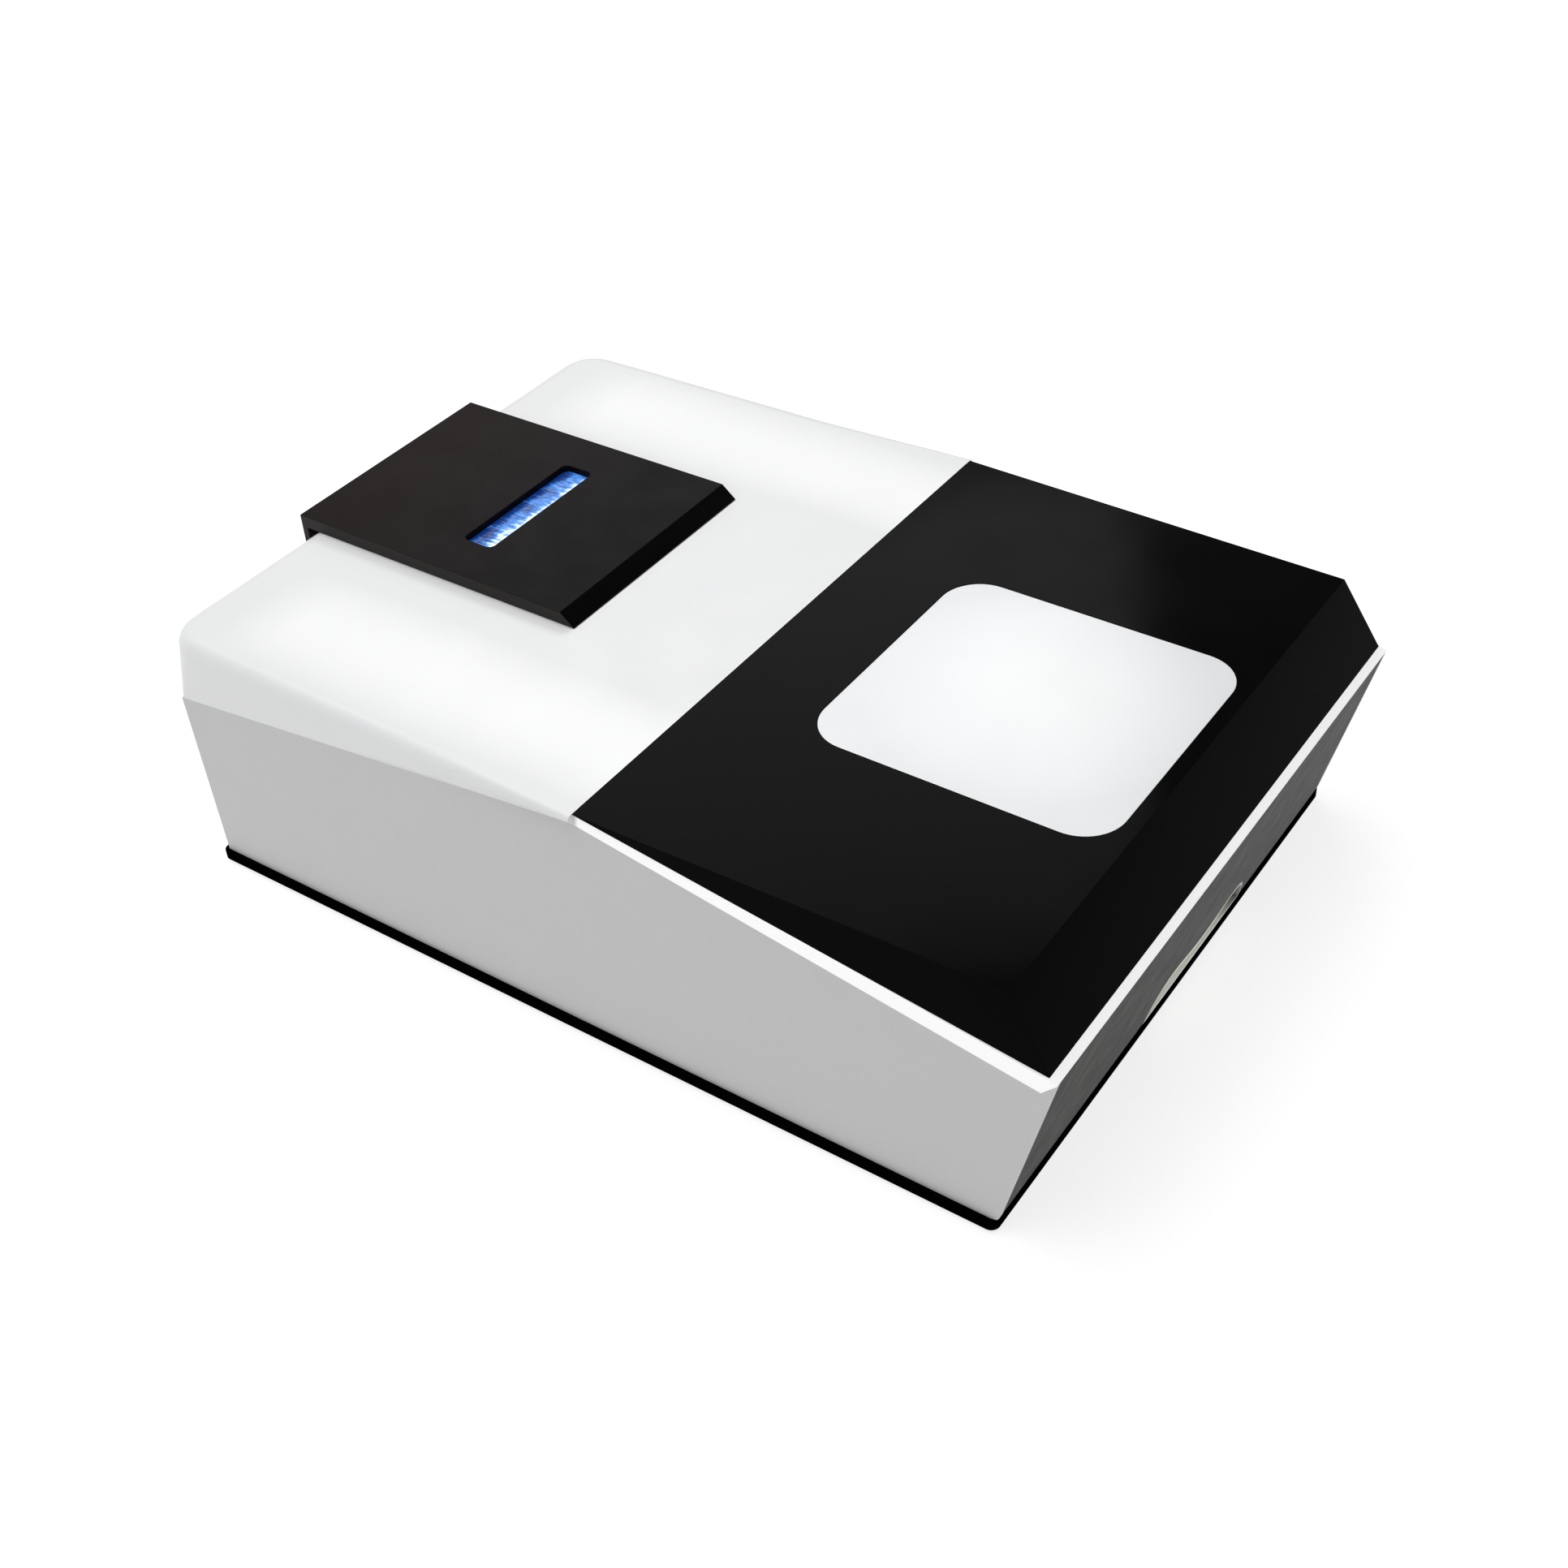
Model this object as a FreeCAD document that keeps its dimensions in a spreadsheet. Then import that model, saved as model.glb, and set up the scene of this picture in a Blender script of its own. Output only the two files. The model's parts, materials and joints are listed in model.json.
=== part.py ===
"""Bench spectrophotometer: a wedge-fronted case with a faceted black glass panel, a white
rear shell, a hinged sample lid with a lit slot, and the optics and electronics it holds.

Millimetres, +Z up, +X to the user's right, +Y to the rear.  The origin is under the middle
of the whole object, on the surface that its feet stand on."""
import FreeCAD, Part
import Sketcher
import math
import os
import re
from types import SimpleNamespace

Vector = FreeCAD.Vector

# Driving dimensions.  A "run" is a distance back from the front edge of the base tray and a
# "level" is a height above the table.
SIZES = {
    # case
    "front": -202.7,
    "foot_height": 2.2,
    "base_half": 152.5,
    "base_depth": 413.7,
    "base_level": 6.4,
    "base_wall": 2.5,
    "base_floor": 2,
    "base_corner": 4,
    "tray_gap": 0.2,
    "side_half": 150,
    "panel_wall": 2.5,
    "panel_foot_run": 0.3,
    "panel_foot_r": 3,
    "panel_tongue_run": 2.9,
    "panel_mitre": 0.616,
    "panel_rear_run": 411,
    "lean_run": -21,
    "lean_level": 93.75,
    "notch_run": -14.85,
    "notch_level": 87,
    "peak_run": 191.6,
    "peak_level": 119.6,
    "roof_rear_run": 415,
    "roof_rear_level": 93.4,
    "top_level": 125.6,
    "seam_run": 189.75,
    "shell_wall": 3,
    "shell_seam_half": 153.4,
    "shell_rear_half": 149,
    "shell_rear_run": 420.6,
    "shell_low_rear_run": 415.6,
    "shell_corner_r": 18,
    "shell_low_corner_r": 2.5,
    "shell_edge_r": 7,
    "shell_seam_edge_r": 2,
    "shell_soft_run": 270,
    "shell_inner_corner_width": 9,
    "shell_inner_corner_depth": 11.5,
    "rim_width": 3.5,
    "ledge_depth": 4.5,
    "lip_reach": 8,
    "link_depth": 4,
    "seam_overlap": 6,
    # glass panel and display
    "glass_seam_half": 151,
    "glass_front_half": 146.25,
    "glass_front_run": 1.1,
    "glass_foot_half": 149.1,
    "glass_foot_run": -17.5,
    "glass_foot_level": 95.25,
    "glass_wall": 3,
    "glass_gap": 0.2,
    "display_shift": 1.7,
    "display_width": 130.2,
    "display_depth": 135.6,
    "display_run": 7.8,
    "display_corner": 18.7,
    "display_gap": 0.15,
    "module_thick": 8,
    # pull recess in the front panel
    "pull_shift": 16,
    "pull_half": 46,
    "pull_height": 23,
    "pull_dip": 9,
    "pull_depth": 14,
    "pull_wall": 2,
    "cup_gap": 0.1,
    # lid
    "lid_left": -54,
    "lid_width": 120.5,
    "lid_front_run": 265.5,
    "lid_bevel_run": 272.7,
    "lid_rear_run": 426.4,
    "lid_level": 132,
    "lid_gap": 0.3,
    "lid_roof": 3,
    "lid_wall": 3.5,
    "lid_skirt_level": 117,
    "slot_left": -30.5,
    "slot_width": 73.8,
    "slot_run": 331.2,
    "slot_depth": 16.4,
    "slot_corner": 3,
    "slot_sink": 0.5,
    "lens_overlap": 2.5,
    "hinge_run": 422.2,
    "hinge_level": 110,
    "hinge_pin_r": 2,
    "hinge_knuckle_r": 4.2,
    "hinge_knuckle": 12,
    "hinge_gap": 0.3,
    "running_gap": 0.05,
    # sample compartment and cell changer
    "well_left": -42,
    "well_width": 96,
    "well_run": 280,
    "well_depth": 118,
    "well_level": 45,
    "well_wall": 2,
    "well_cut": 20,
    "beam_run": 339,
    "beam_level": 70,
    "beam_r": 6,
    "cell_middle": 6,
    "cell_pitch": 15,
    "cell_side": 12.7,
    "cell_count": 4,
    "carriage_length": 63,
    "carriage_run": 285,
    "carriage_level": 50,
    "carriage_base": 12,
    "carriage_top": 88,
    "carriage_half": 26,
    "cell_block_half": 10,
    "rod_spread": 20,
    "rod_level": 56,
    "rod_r": 3,
    "rack_half": 3,
    "rack_pitch_level": 37,
    "pinion_r": 8,
    "tooth_module": 1,
    "shaft_r": 2,
    "motor_r": 9,
    # optics
    "bench_left": -142,
    "bench_width": 94,
    "bench_run": 28,
    "bench_depth": 366,
    "bench_level": 20,
    "bench_thick": 6,
    "bench_post_r": 5,
    "grating_x": -95,
    "grating_run": 150,
    "sector_r": 24,
    "sector_level": 30,
    "sector_thick": 4,
    "grating_pinion_r": 6,
    "pivot_r": 4,
    "table_r": 20,
    "grating_side": 30,
    "grating_thick": 6,
    "wheel_x": -72,
    "wheel_run": 314,
    "wheel_level": 60,
    "wheel_r": 19,
    "wheel_thick": 3,
    "filter_circle_r": 13,
    "filter_r": 4,
    "flip_x": -70,
    "flip_run": 368,
    "lamp_box_left": -140,
    "lamp_box_width": 54,
    "lamp_box_run": 345,
    "lamp_box_depth": 48,
    "lamp_box_height": 66,
    "sheet_thick": 1.5,
    # electronics and rear
    "board_left": 62,
    "board_width": 78,
    "board_run": 70,
    "board_depth": 215,
    "board_level": 14,
    "board_thick": 1.6,
    "supply_left": 72,
    "supply_width": 68,
    "supply_run": 300,
    "supply_depth": 80,
    "supply_height": 40,
    "rear_panel_run": 408.6,
    "rear_panel_thick": 2.5,
    "fan_x": -110,
    "fan_level": 63,
    "fan_side": 50,
    "fan_thick": 11,
    "fan_hole_r": 23.5,
    "fan_hub_r": 9,
    "fan_blade_r": 22.5,
    "inlet_x": 112,
    "inlet_level": 36,
    "inlet_width": 27.5,
    "inlet_height": 20,
    "switch_x": 78,
    "switch_width": 15,
    "switch_height": 21,
    "rocker_tilt": 12,
    "foot_r": 9,
    "foot_x": 125,
    "foot_inset": 35,
    "screw_r": 2.8,
    "screw_head": 1.2,
    "socket_level": 20,
}

doc = FreeCAD.newDocument("spectrophotometer")
sheet = doc.addObject("Spreadsheet::Sheet", "sizes")
for row, (alias, number) in enumerate(SIZES.items(), start=1):
    sheet.set(f"A{row}", alias)
    sheet.set(f"B{row}", str(number))
    sheet.setAlias(f"B{row}", alias)
doc.recompute()
S = SimpleNamespace(**{alias: float(sheet.get(alias)) for alias in SIZES})
nodes = []


# ---- helpers -------------------------------------------------------------------------------

def bound(formula):
    """A formula in size names, rewritten as one in the sheet's cells."""
    return re.sub(r"[a-z_]+", lambda word: f"sizes.{word[0]}" if word[0] in SIZES else word[0],
                  str(formula))


def bind(piece, path, formula):
    piece.setExpression(path, bound(formula))


def place(piece, corner, turn=None):
    if turn:
        piece.Placement.Rotation = turn
    for axis, formula in zip("xyz", corner):
        bind(piece, f".Placement.Base.{axis}", formula)
    return piece


def box(name, corner, size, turn=None):
    """A block from its lowest corner and its size along X, Y and Z."""
    block = doc.addObject("Part::Box", name)
    for side, formula in zip(("Length", "Width", "Height"), size):
        bind(block, side, formula)
    return place(block, corner, turn)


ALONG = {
    "x": FreeCAD.Rotation(Vector(0, 1, 0), 90),
    "y": FreeCAD.Rotation(Vector(1, 0, 0), -90),
    "z": FreeCAD.Rotation(),
}


def rod(name, start, radius, length, along="z"):
    """A cylinder from the middle of its first end."""
    bar = doc.addObject("Part::Cylinder", name)
    bind(bar, "Radius", radius)
    bind(bar, "Height", length)
    return place(bar, start, ALONG[along])


def fuse(name, pieces):
    whole = doc.addObject("Part::MultiFuse", name)
    whole.Shapes = pieces
    return whole


def group(name, pieces):
    """Separate solids that are one kind of part."""
    whole = doc.addObject("Part::Compound", name)
    whole.Links = pieces
    return whole


def cut(name, base, tools):
    tool = tools[0] if len(tools) == 1 else fuse(f"{name}_tools", tools)
    rest = doc.addObject("Part::Cut", name)
    rest.Base = base
    rest.Tool = tool
    return rest


def soften(name, piece, radius, wanted):
    """Round the edges of a piece that the test picks out."""
    doc.recompute()
    rounded = doc.addObject("Part::Fillet", name)
    rounded.Base = piece
    picked = [i for i, edge in enumerate(piece.Shape.Edges, start=1) if wanted(edge)]
    rounded.Edges = [(i, radius, radius) for i in picked]
    return rounded


def upright(edge):
    box_of = edge.BoundBox
    return box_of.XLength < 1e-6 and box_of.YLength < 1e-6


def made(name, shape):
    """A piece whose shape is worked out here from the sheet's numbers."""
    piece = doc.addObject("Part::Feature", name)
    piece.Shape = shape
    return piece


def node(label, piece):
    piece.Label = label
    nodes.append(piece)
    return piece


def profile(name, plane, outline, length, offset="0", reverse=False):
    """A body padded from an outline of formula pairs on one of its origin planes."""
    body = doc.addObject("PartDesign::Body", name)
    sketch = body.newObject("Sketcher::SketchObject", f"{name}_outline")
    role = {"yz": "YZ_Plane", "xz": "XZ_Plane", "xy": "XY_Plane"}[plane]
    home = next(f for f in body.Origin.OriginFeatures if f.Role == role)
    sketch.AttachmentSupport = (home, "")
    sketch.MapMode = "FlatFace"
    bind(sketch, ".AttachmentOffset.Base.z", offset)
    trace(sketch, outline)
    pad = body.newObject("PartDesign::Pad", f"{name}_pad")
    pad.Profile = sketch
    pad.Reversed = reverse
    bind(pad, "Length", length)
    return body


def trace(sketch, outline):
    """Draw a closed outline whose corners are each held by two bound distances."""
    count = len(outline)
    guess = [Vector(10 * math.cos(k), 10 * math.sin(k), 0) for k in
             (2 * math.pi * i / count for i in range(count))]
    for i in range(count):
        sketch.addGeometry(Part.LineSegment(guess[i], guess[(i + 1) % count]))
    for i in range(count):
        sketch.addConstraint(Sketcher.Constraint("Coincident", i, 2, (i + 1) % count, 1))
    for i, (across, up) in enumerate(outline):
        for kind, formula in (("DistanceX", across), ("DistanceY", up)):
            start = guess[i].x if kind == "DistanceX" else guess[i].y
            index = sketch.addConstraint(Sketcher.Constraint(kind, -1, 1, i, 1, start))
            bind(sketch, f"Constraints[{index}]", formula)


def run(text):
    """The Y of a distance back from the base tray's front edge."""
    return f"front + {text}"


def y_of(distance):
    return S.front + distance


FLOOR_TOP = "foot_height + base_floor"
BENCH_TOP = "bench_level + bench_thick"
PINION_AXIS = "rack_pitch_level - pinion_r"


def solid_of(faces):
    """A closed solid from flat faces, each a list of corners."""
    walls = [Part.Face(Part.makePolygon([Vector(*p) for p in face + face[:1]])) for face in faces]
    whole = Part.Solid(Part.makeShell(walls))
    if whole.Volume < 0:
        whole.reverse()
    return whole


def prism_x(outline, half):
    """A side outline of (y, z) corners carried across from -half to +half."""
    corners = [Vector(-half, y, z) for y, z in outline]
    return Part.Face(Part.makePolygon(corners + corners[:1])).extrude(Vector(2 * half, 0, 0))


# ---- case ----------------------------------------------------------------------------------

def base_tray():
    """Black steel tray: a floor with an upstanding wall, holes for the feet and air slots."""
    blank = box("tray_blank", ("-base_half", run("0"), "foot_height"),
                ("2 * base_half", "base_depth", "base_level - foot_height"))
    rounded = soften("tray_rounded", blank, S.base_corner, upright)
    inside = box("tray_inside",
                 ("-base_half + base_wall", run("base_wall"), FLOOR_TOP),
                 ("2 * (base_half - base_wall)", "base_depth - 2 * base_wall", "base_level"))
    slots = [box(f"tray_slot_{i}", (f"foot_x - 75 + {12 * i}", run("120"), 0),
                 (4, 60, "base_level")) for i in range(5)]
    return cut("base_tray", rounded, [inside] + slots)


def feet_places():
    for side in (-1, 1):
        for depth in ("foot_inset", "base_depth - foot_inset"):
            yield f"{side} * foot_x", run(depth)


def rubber_feet():
    feet = [rod(f"foot_{i}", (x, y, 0), "foot_r", "foot_height")
            for i, (x, y) in enumerate(feet_places())]
    return group("rubber_feet", feet)


def side_outline():
    return [
        (run("panel_tongue_run"), FLOOR_TOP),
        (run("panel_tongue_run"), "base_level + tray_gap"),
        (run("panel_foot_run"), "base_level + tray_gap"),
        (run("lean_run"), "lean_level"),
        (run("notch_run"), "notch_level"),
        (run("peak_run"), "peak_level"),
        (run("roof_rear_run"), "roof_rear_level"),
        (run("panel_rear_run"), "base_level"),
        (run("panel_rear_run"), FLOOR_TOP),
    ]


def foot_edge(edge):
    """True of the edge along a panel's front foot, which stands over the tray's wall."""
    reach = edge.BoundBox
    return (reach.YLength < 0.01 and reach.ZLength < 0.01
            and abs(reach.YMin - y_of(S.panel_foot_run)) < 0.01
            and abs(reach.ZMin - S.base_level - S.tray_gap) < 0.01)


def side_panel(name, offset):
    blank = profile(f"{name}_blank", "yz", side_outline(), "panel_wall", offset)
    return soften(name, blank, S.panel_foot_r, foot_edge)


def front_panel():
    """Front wall leaning out over the user's side, with the opening of the pull recess."""
    foot_level = S.base_level + S.tray_gap
    lean = math.hypot(S.panel_foot_run - S.lean_run, S.lean_level - foot_level)
    inward = S.panel_wall * (S.lean_level - foot_level) / lean
    upward = S.panel_wall * (S.panel_foot_run - S.lean_run) / lean
    inner_run = S.lean_run + S.panel_mitre * (S.notch_run - S.lean_run)
    inner_level = S.lean_level + S.panel_mitre * (S.notch_level - S.lean_level)
    tongue_rear = S.panel_tongue_run + S.panel_wall
    outline = [
        (y_of(S.panel_tongue_run), S.foot_height + S.base_floor),
        (y_of(S.panel_tongue_run), foot_level),
        (y_of(S.panel_foot_run), foot_level),
        (y_of(S.lean_run), S.lean_level),
        (y_of(inner_run), inner_level),
        (y_of(S.panel_foot_run + inward), foot_level + upward),
        (y_of(tongue_rear), foot_level + upward),
        (y_of(tongue_rear), S.foot_height + S.base_floor),
    ]
    wall = soften("front_wall", made("front_wall_blank",
                                     prism_x(outline, S.side_half - S.panel_wall)),
                  S.panel_foot_r, foot_edge)
    return cut("front_panel", wall, [made("pull_opening", pull_shape(0, S.pull_depth))])


def pull_shape(inset, rear):
    """A low arch, dipped in the middle, from in front of the case back to a run."""
    steps = 24
    half = S.pull_half - inset
    low = S.base_level + 1 + inset
    front = y_of(S.lean_run)
    points = []
    for i in range(steps + 1):
        across = -math.cos(i / steps * math.pi)
        dip = S.pull_dip * (1 + math.cos(across * math.pi)) / 2
        shoulder = math.sqrt(max(0, 1 - across ** 4))
        points.append(Vector(S.pull_shift + half * across, front,
                             low + (S.pull_height - 2 * inset - dip) * shoulder))
    arch = Part.BSplineCurve()
    arch.interpolate(points)
    edges = [arch.toShape(), Part.makeLine(points[-1], points[0])]
    return Part.Face(Part.Wire(edges)).extrude(Vector(0, y_of(rear) - front, 0))


def front_pull_cup():
    """Pale finger recess behind the arch in the front panel."""
    outside = pull_shape(S.cup_gap, S.pull_depth + S.pull_wall)
    inside = pull_shape(S.pull_wall, S.pull_depth)
    foot = (y_of(S.panel_foot_run), S.base_level + S.tray_gap)
    front = y_of(S.lean_run - 1)
    ahead = prism_x([(front, 0), (foot[0], 0), foot, (y_of(S.lean_run), S.lean_level),
                     (front, S.lean_level)], S.side_half)
    return made("front_pull_cup", outside.cut(inside).cut(ahead))


def rear_panel():
    """Flat rear wall with holes for the fan, inlet, switch and sockets, and air slots."""
    wall = box("rear_wall", ("-side_half + panel_wall", run("rear_panel_run"),
                             FLOOR_TOP),
               ("2 * (side_half - panel_wall)", "rear_panel_thick",
                "roof_rear_level - foot_height - base_floor - 1"))
    holes = [
        box("inlet_hole", ("inlet_x - inlet_width / 2", run("rear_panel_run - 1"),
                           "inlet_level - inlet_height / 2"),
            ("inlet_width", "rear_panel_thick + 2", "inlet_height")),
        box("switch_hole", ("switch_x - switch_width / 2", run("rear_panel_run - 1"),
                            "inlet_level - switch_height / 2"),
            ("switch_width", "rear_panel_thick + 2", "switch_height")),
    ]
    holes += [box(f"socket_hole_{i}", (f"{x} - {width} / 2", run("rear_panel_run - 1"),
                                       "socket_level"),
                  (width, "rear_panel_thick + 2", height))
              for i, (x, width, height) in enumerate(SOCKETS)]
    bars = 7
    for i in range(bars):
        level = (i - (bars - 1) / 2) * 2 * S.fan_hole_r / bars
        half = math.sqrt((S.fan_hole_r - 1.5) ** 2 - level ** 2)
        holes.append(box(f"fan_slot_{i}", (f"fan_x - {half:.3f}", run("rear_panel_run - 1"),
                                           f"fan_level + {level:.3f} - 1.8"),
                         (2 * half, "rear_panel_thick + 2", 3.6)))
    return cut("rear_panel", wall, holes)


def roof_level(y):
    """Level of the side panels' sloping top edge."""
    rise = (S.roof_rear_level - S.peak_level) / (S.roof_rear_run - S.peak_run)
    return S.peak_level + rise * (y - y_of(S.peak_run))


def shell_outline(front_half, rear_half, rear_run, corner_r):
    """Points with their outward direction, from the seam round the left rear corner."""
    side_steps, corner_steps, rear_steps = 13, 10, 6
    first_y, rear_y = y_of(S.seam_run), y_of(rear_run)
    bend_x, bend_y = -rear_half + corner_r, rear_y - corner_r
    points = []
    for i in range(side_steps):
        y = first_y + (bend_y - first_y) * i / side_steps
        share = (y - first_y) / (rear_y - first_y)
        points.append((-front_half + (front_half - rear_half) * share, y, math.pi))
    for i in range(corner_steps + 1):
        turn = math.pi - i / corner_steps * math.pi / 2
        points.append((bend_x + corner_r * math.cos(turn), bend_y + corner_r * math.sin(turn),
                       turn))
    for i in range(1, rear_steps + 1):
        points.append((bend_x * (1 - i / rear_steps), rear_y, math.pi / 2))
    return points


def shell_grid():
    """Points of the rear shell's skin: columns from its low edge up and over onto its top."""
    wall_steps, edge_steps = 6, 7
    low = shell_outline(S.side_half, S.side_half, S.shell_low_rear_run, S.shell_low_corner_r)
    high = shell_outline(S.shell_seam_half, S.shell_rear_half, S.shell_rear_run,
                         S.shell_corner_r)
    columns = []
    for (low_x, low_y, _), (x, y, turn) in zip(low, high):
        soft = min(1, (y - y_of(S.seam_run)) / (S.shell_soft_run - S.seam_run))
        radius = S.shell_seam_edge_r + (S.shell_edge_r - S.shell_seam_edge_r) * soft
        foot = roof_level(low_y)
        spring = S.top_level - radius
        column = []
        for i in range(wall_steps):
            share = i / wall_steps
            column.append(Vector(low_x + (x - low_x) * share, low_y + (y - low_y) * share,
                                 foot + (spring - foot) * share))
        for i in range(edge_steps + 1):
            climb = i / edge_steps * math.pi / 2
            reach = radius * (1 - math.cos(climb))
            column.append(Vector(x - reach * math.cos(turn), y - reach * math.sin(turn),
                                 spring + radius * math.sin(climb)))
        columns.append(column)
    return columns + [[Vector(-p.x, p.y, p.z) for p in column] for column in columns[-2::-1]]


def rear_block():
    """The rear shell's outer form: a smooth skin closed by flat faces at top, foot and seam."""
    grid = shell_grid()
    surface = Part.BSplineSurface()
    surface.interpolate(grid)
    skin = surface.toShape()

    def border(start, end):
        return next(e for e in skin.Edges
                    if all(min(p.distanceToPoint(v.Point) for v in e.Vertexes) < 1e-4
                           for p in (start, end)))

    left, right = grid[0], grid[-1]
    low_line = Part.makeLine(left[0], right[0])
    top_line = Part.makeLine(left[-1], right[-1])
    rings = [[border(left[0], right[0]), low_line],
             [border(left[-1], right[-1]), top_line],
             [border(left[0], left[-1]), top_line, border(right[0], right[-1]), low_line]]
    shell = Part.makeShell([skin] + [Part.Face(Part.Wire(ring)) for ring in rings])
    shell.sewShape()
    whole = Part.Solid(shell.Shells[0])
    if whole.Volume < 0:
        whole.reverse()
    return whole


def shell_hollow():
    """The space inside the rear shell, with its rear corners cut off."""
    half = S.side_half - S.shell_wall
    rear = y_of(S.shell_low_rear_run - S.shell_wall)
    first = y_of(S.seam_run - 10)
    plan = [(half, first), (half, rear - S.shell_inner_corner_depth),
            (half - S.shell_inner_corner_width, rear)]
    plan += [(-x, y) for x, y in reversed(plan)]
    foot = [(x, y, roof_level(y) - 2 * S.shell_wall) for x, y in plan]
    top = [(x, y, S.top_level - S.shell_wall) for x, y in plan]
    walls = [[foot[i], foot[i - 1], top[i - 1], top[i]] for i in range(len(plan))]
    return solid_of([foot, top] + walls)


def upper_shell():
    """White top moulding: rear shell, side strips under the glass, front ledge, seam lip."""
    shell = rear_block().cut(shell_hollow())
    slope = (S.top_level - S.glass_foot_level) / (S.seam_run - S.glass_foot_run)
    band = prism_x([
        (y_of(S.lean_run), S.lean_level),
        (y_of(S.glass_foot_run), S.glass_foot_level),
        (y_of(S.seam_run), S.top_level),
        (y_of(S.seam_run + S.seam_overlap), S.top_level),
        (y_of(S.seam_run + S.seam_overlap), roof_level(y_of(S.seam_run + S.seam_overlap))),
        (y_of(S.peak_run), S.peak_level),
        (y_of(S.notch_run), S.notch_level),
    ], S.side_half)
    hollow_start = S.glass_foot_run + S.ledge_depth
    hollow = prism_x([
        (y_of(hollow_start), 0),
        (y_of(hollow_start), S.top_level + 10),
        (y_of(S.seam_run + S.seam_overlap + 1), S.top_level + 10),
        (y_of(S.seam_run + S.seam_overlap + 1), 0),
    ], S.side_half - S.rim_width)
    inner_width = 2 * (S.side_half - S.rim_width)
    lip_top = S.top_level - S.glass_wall - slope * (S.lip_reach + 1)
    lip = Part.makeBox(inner_width, S.lip_reach + S.link_depth, S.shell_wall,
                       Vector(-inner_width / 2, y_of(S.seam_run - S.lip_reach),
                              lip_top - S.shell_wall))
    link = Part.makeBox(inner_width, S.link_depth, S.top_level - 1 - lip_top + S.shell_wall,
                        Vector(-inner_width / 2, y_of(S.seam_run + S.glass_gap),
                               lip_top - S.shell_wall))
    well = Part.makeBox(S.well_width, S.well_depth, 2 * S.well_cut,
                        Vector(S.well_left, y_of(S.well_run), S.top_level - S.well_cut))
    whole = shell.fuse([band.cut(hollow), lip, link]).removeSplitter().cut(well)
    knuckle_room = [rod(f"knuckle_room_{i}", (f"{start} - 1.5", run("hinge_run"), "hinge_level"),
                        "hinge_knuckle_r + 0.8", "hinge_knuckle + hinge_gap + 1.5", "x")
                    for i, start in enumerate(knuckle_starts())]
    return cut("upper_shell", made("shell_moulding", whole), knuckle_room)


def glass_panel():
    """Black glass cover: a flat top with bevels falling to the ledge, over a flat seat."""
    seam_y, front_y, foot_y = (y_of(S.seam_run), y_of(S.glass_front_run), y_of(S.glass_foot_run))
    top, foot = S.top_level, S.glass_foot_level
    left = [(-S.glass_seam_half, seam_y, top), (-S.glass_front_half, front_y, top),
            (-S.glass_foot_half, foot_y, foot)]
    right = [(-x, y, z) for x, y, z in left]
    wedge = solid_of([
        [left[0], right[0], right[1], left[1]],
        [left[1], right[1], right[2], left[2]],
        left,
        right,
        [left[0], right[0], right[2], left[2]],
    ])
    slope = (top - foot) / (seam_y - foot_y)
    inner_half = S.side_half - S.rim_width - S.glass_gap
    front = foot_y + S.ledge_depth + S.glass_gap
    rear = seam_y - S.glass_gap / 2

    def seat_level(y):
        return foot + slope * (y - foot_y)

    seat = prism_x([
        (front, seat_level(front) - S.glass_wall),
        (front, seat_level(front)),
        (rear, seat_level(rear)),
        (rear, seat_level(rear) - S.glass_wall),
    ], inner_half)
    fall = (front_y - foot_y) / (top - foot)
    hollow_top = top - S.glass_wall
    hollow = prism_x([
        (front_y + 2, hollow_top),
        (front + 3, hollow_top - (front_y + 2 - front - 3) / fall),
        (front + 3, foot - 20),
        (rear - 9, foot),
        (rear - 9, hollow_top),
    ], inner_half - S.glass_wall)
    blank = made("glass_blank", wedge.fuse(seat).removeSplitter().cut(hollow))
    return cut("glass_panel", blank, [display_plate("display_hole", "0", 20, -10)])


def display_plate(name, gap, thick, sink):
    """A plate with round corners centred on the display, its top below the glass by sink."""
    plate = box(f"{name}_blank",
                (f"display_shift - display_width / 2 + {gap}", run(f"display_run + {gap}"),
                 f"top_level - {sink} - ({thick})"),
                (f"display_width - 2 * {gap}", f"display_depth - 2 * {gap}", thick))
    return soften(name, plate, S.display_corner, upright)


def display_module():
    """Flat-panel display with its circuit board underneath."""
    panel = box("module_panel", ("display_shift - display_width / 2 + 4", run("display_run + 5"),
                                 "top_level - glass_wall - module_thick"),
                ("display_width - 8", "display_depth - 10", "module_thick - 0.5"))
    board = box("module_board", ("display_shift - 40", run("display_run + 30"),
                                 "top_level - glass_wall - module_thick - 2"),
                (80, 75, 2))
    chips = [box(f"module_chip_{i}", (f"display_shift - 30 + {24 * i}", run("display_run + 50"),
                                      "top_level - glass_wall - module_thick - 4"),
                 (12, 12, 2)) for i in range(3)]
    return fuse("display_module", [panel, board] + chips)


def display_bracket():
    """Two steel straps that clamp the display up against the glass."""
    straps = []
    for i, shift in enumerate((-58, 46)):
        straps.append(box(f"strap_{i}", (f"display_shift + {shift}", run("display_run + 2"),
                                         "top_level - glass_wall - module_thick - 1.5"),
                          (12, "display_depth + 14", 1.5)))
        straps.append(box(f"strap_leg_{i}", (f"display_shift + {shift}",
                                             run("display_run + display_depth + 14.5"),
                                             "top_level - glass_wall - module_thick - 1.5"),
                          (12, 1.5, "module_thick + 1.5")))
        straps.append(box(f"strap_toe_{i}", (f"display_shift + {shift}",
                                             run("display_run + display_depth + 1"),
                                             "top_level - glass_wall - 1.5"),
                          (12, 15, 1.5)))
    return fuse("display_bracket", straps)


# ---- lid -----------------------------------------------------------------------------------

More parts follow.
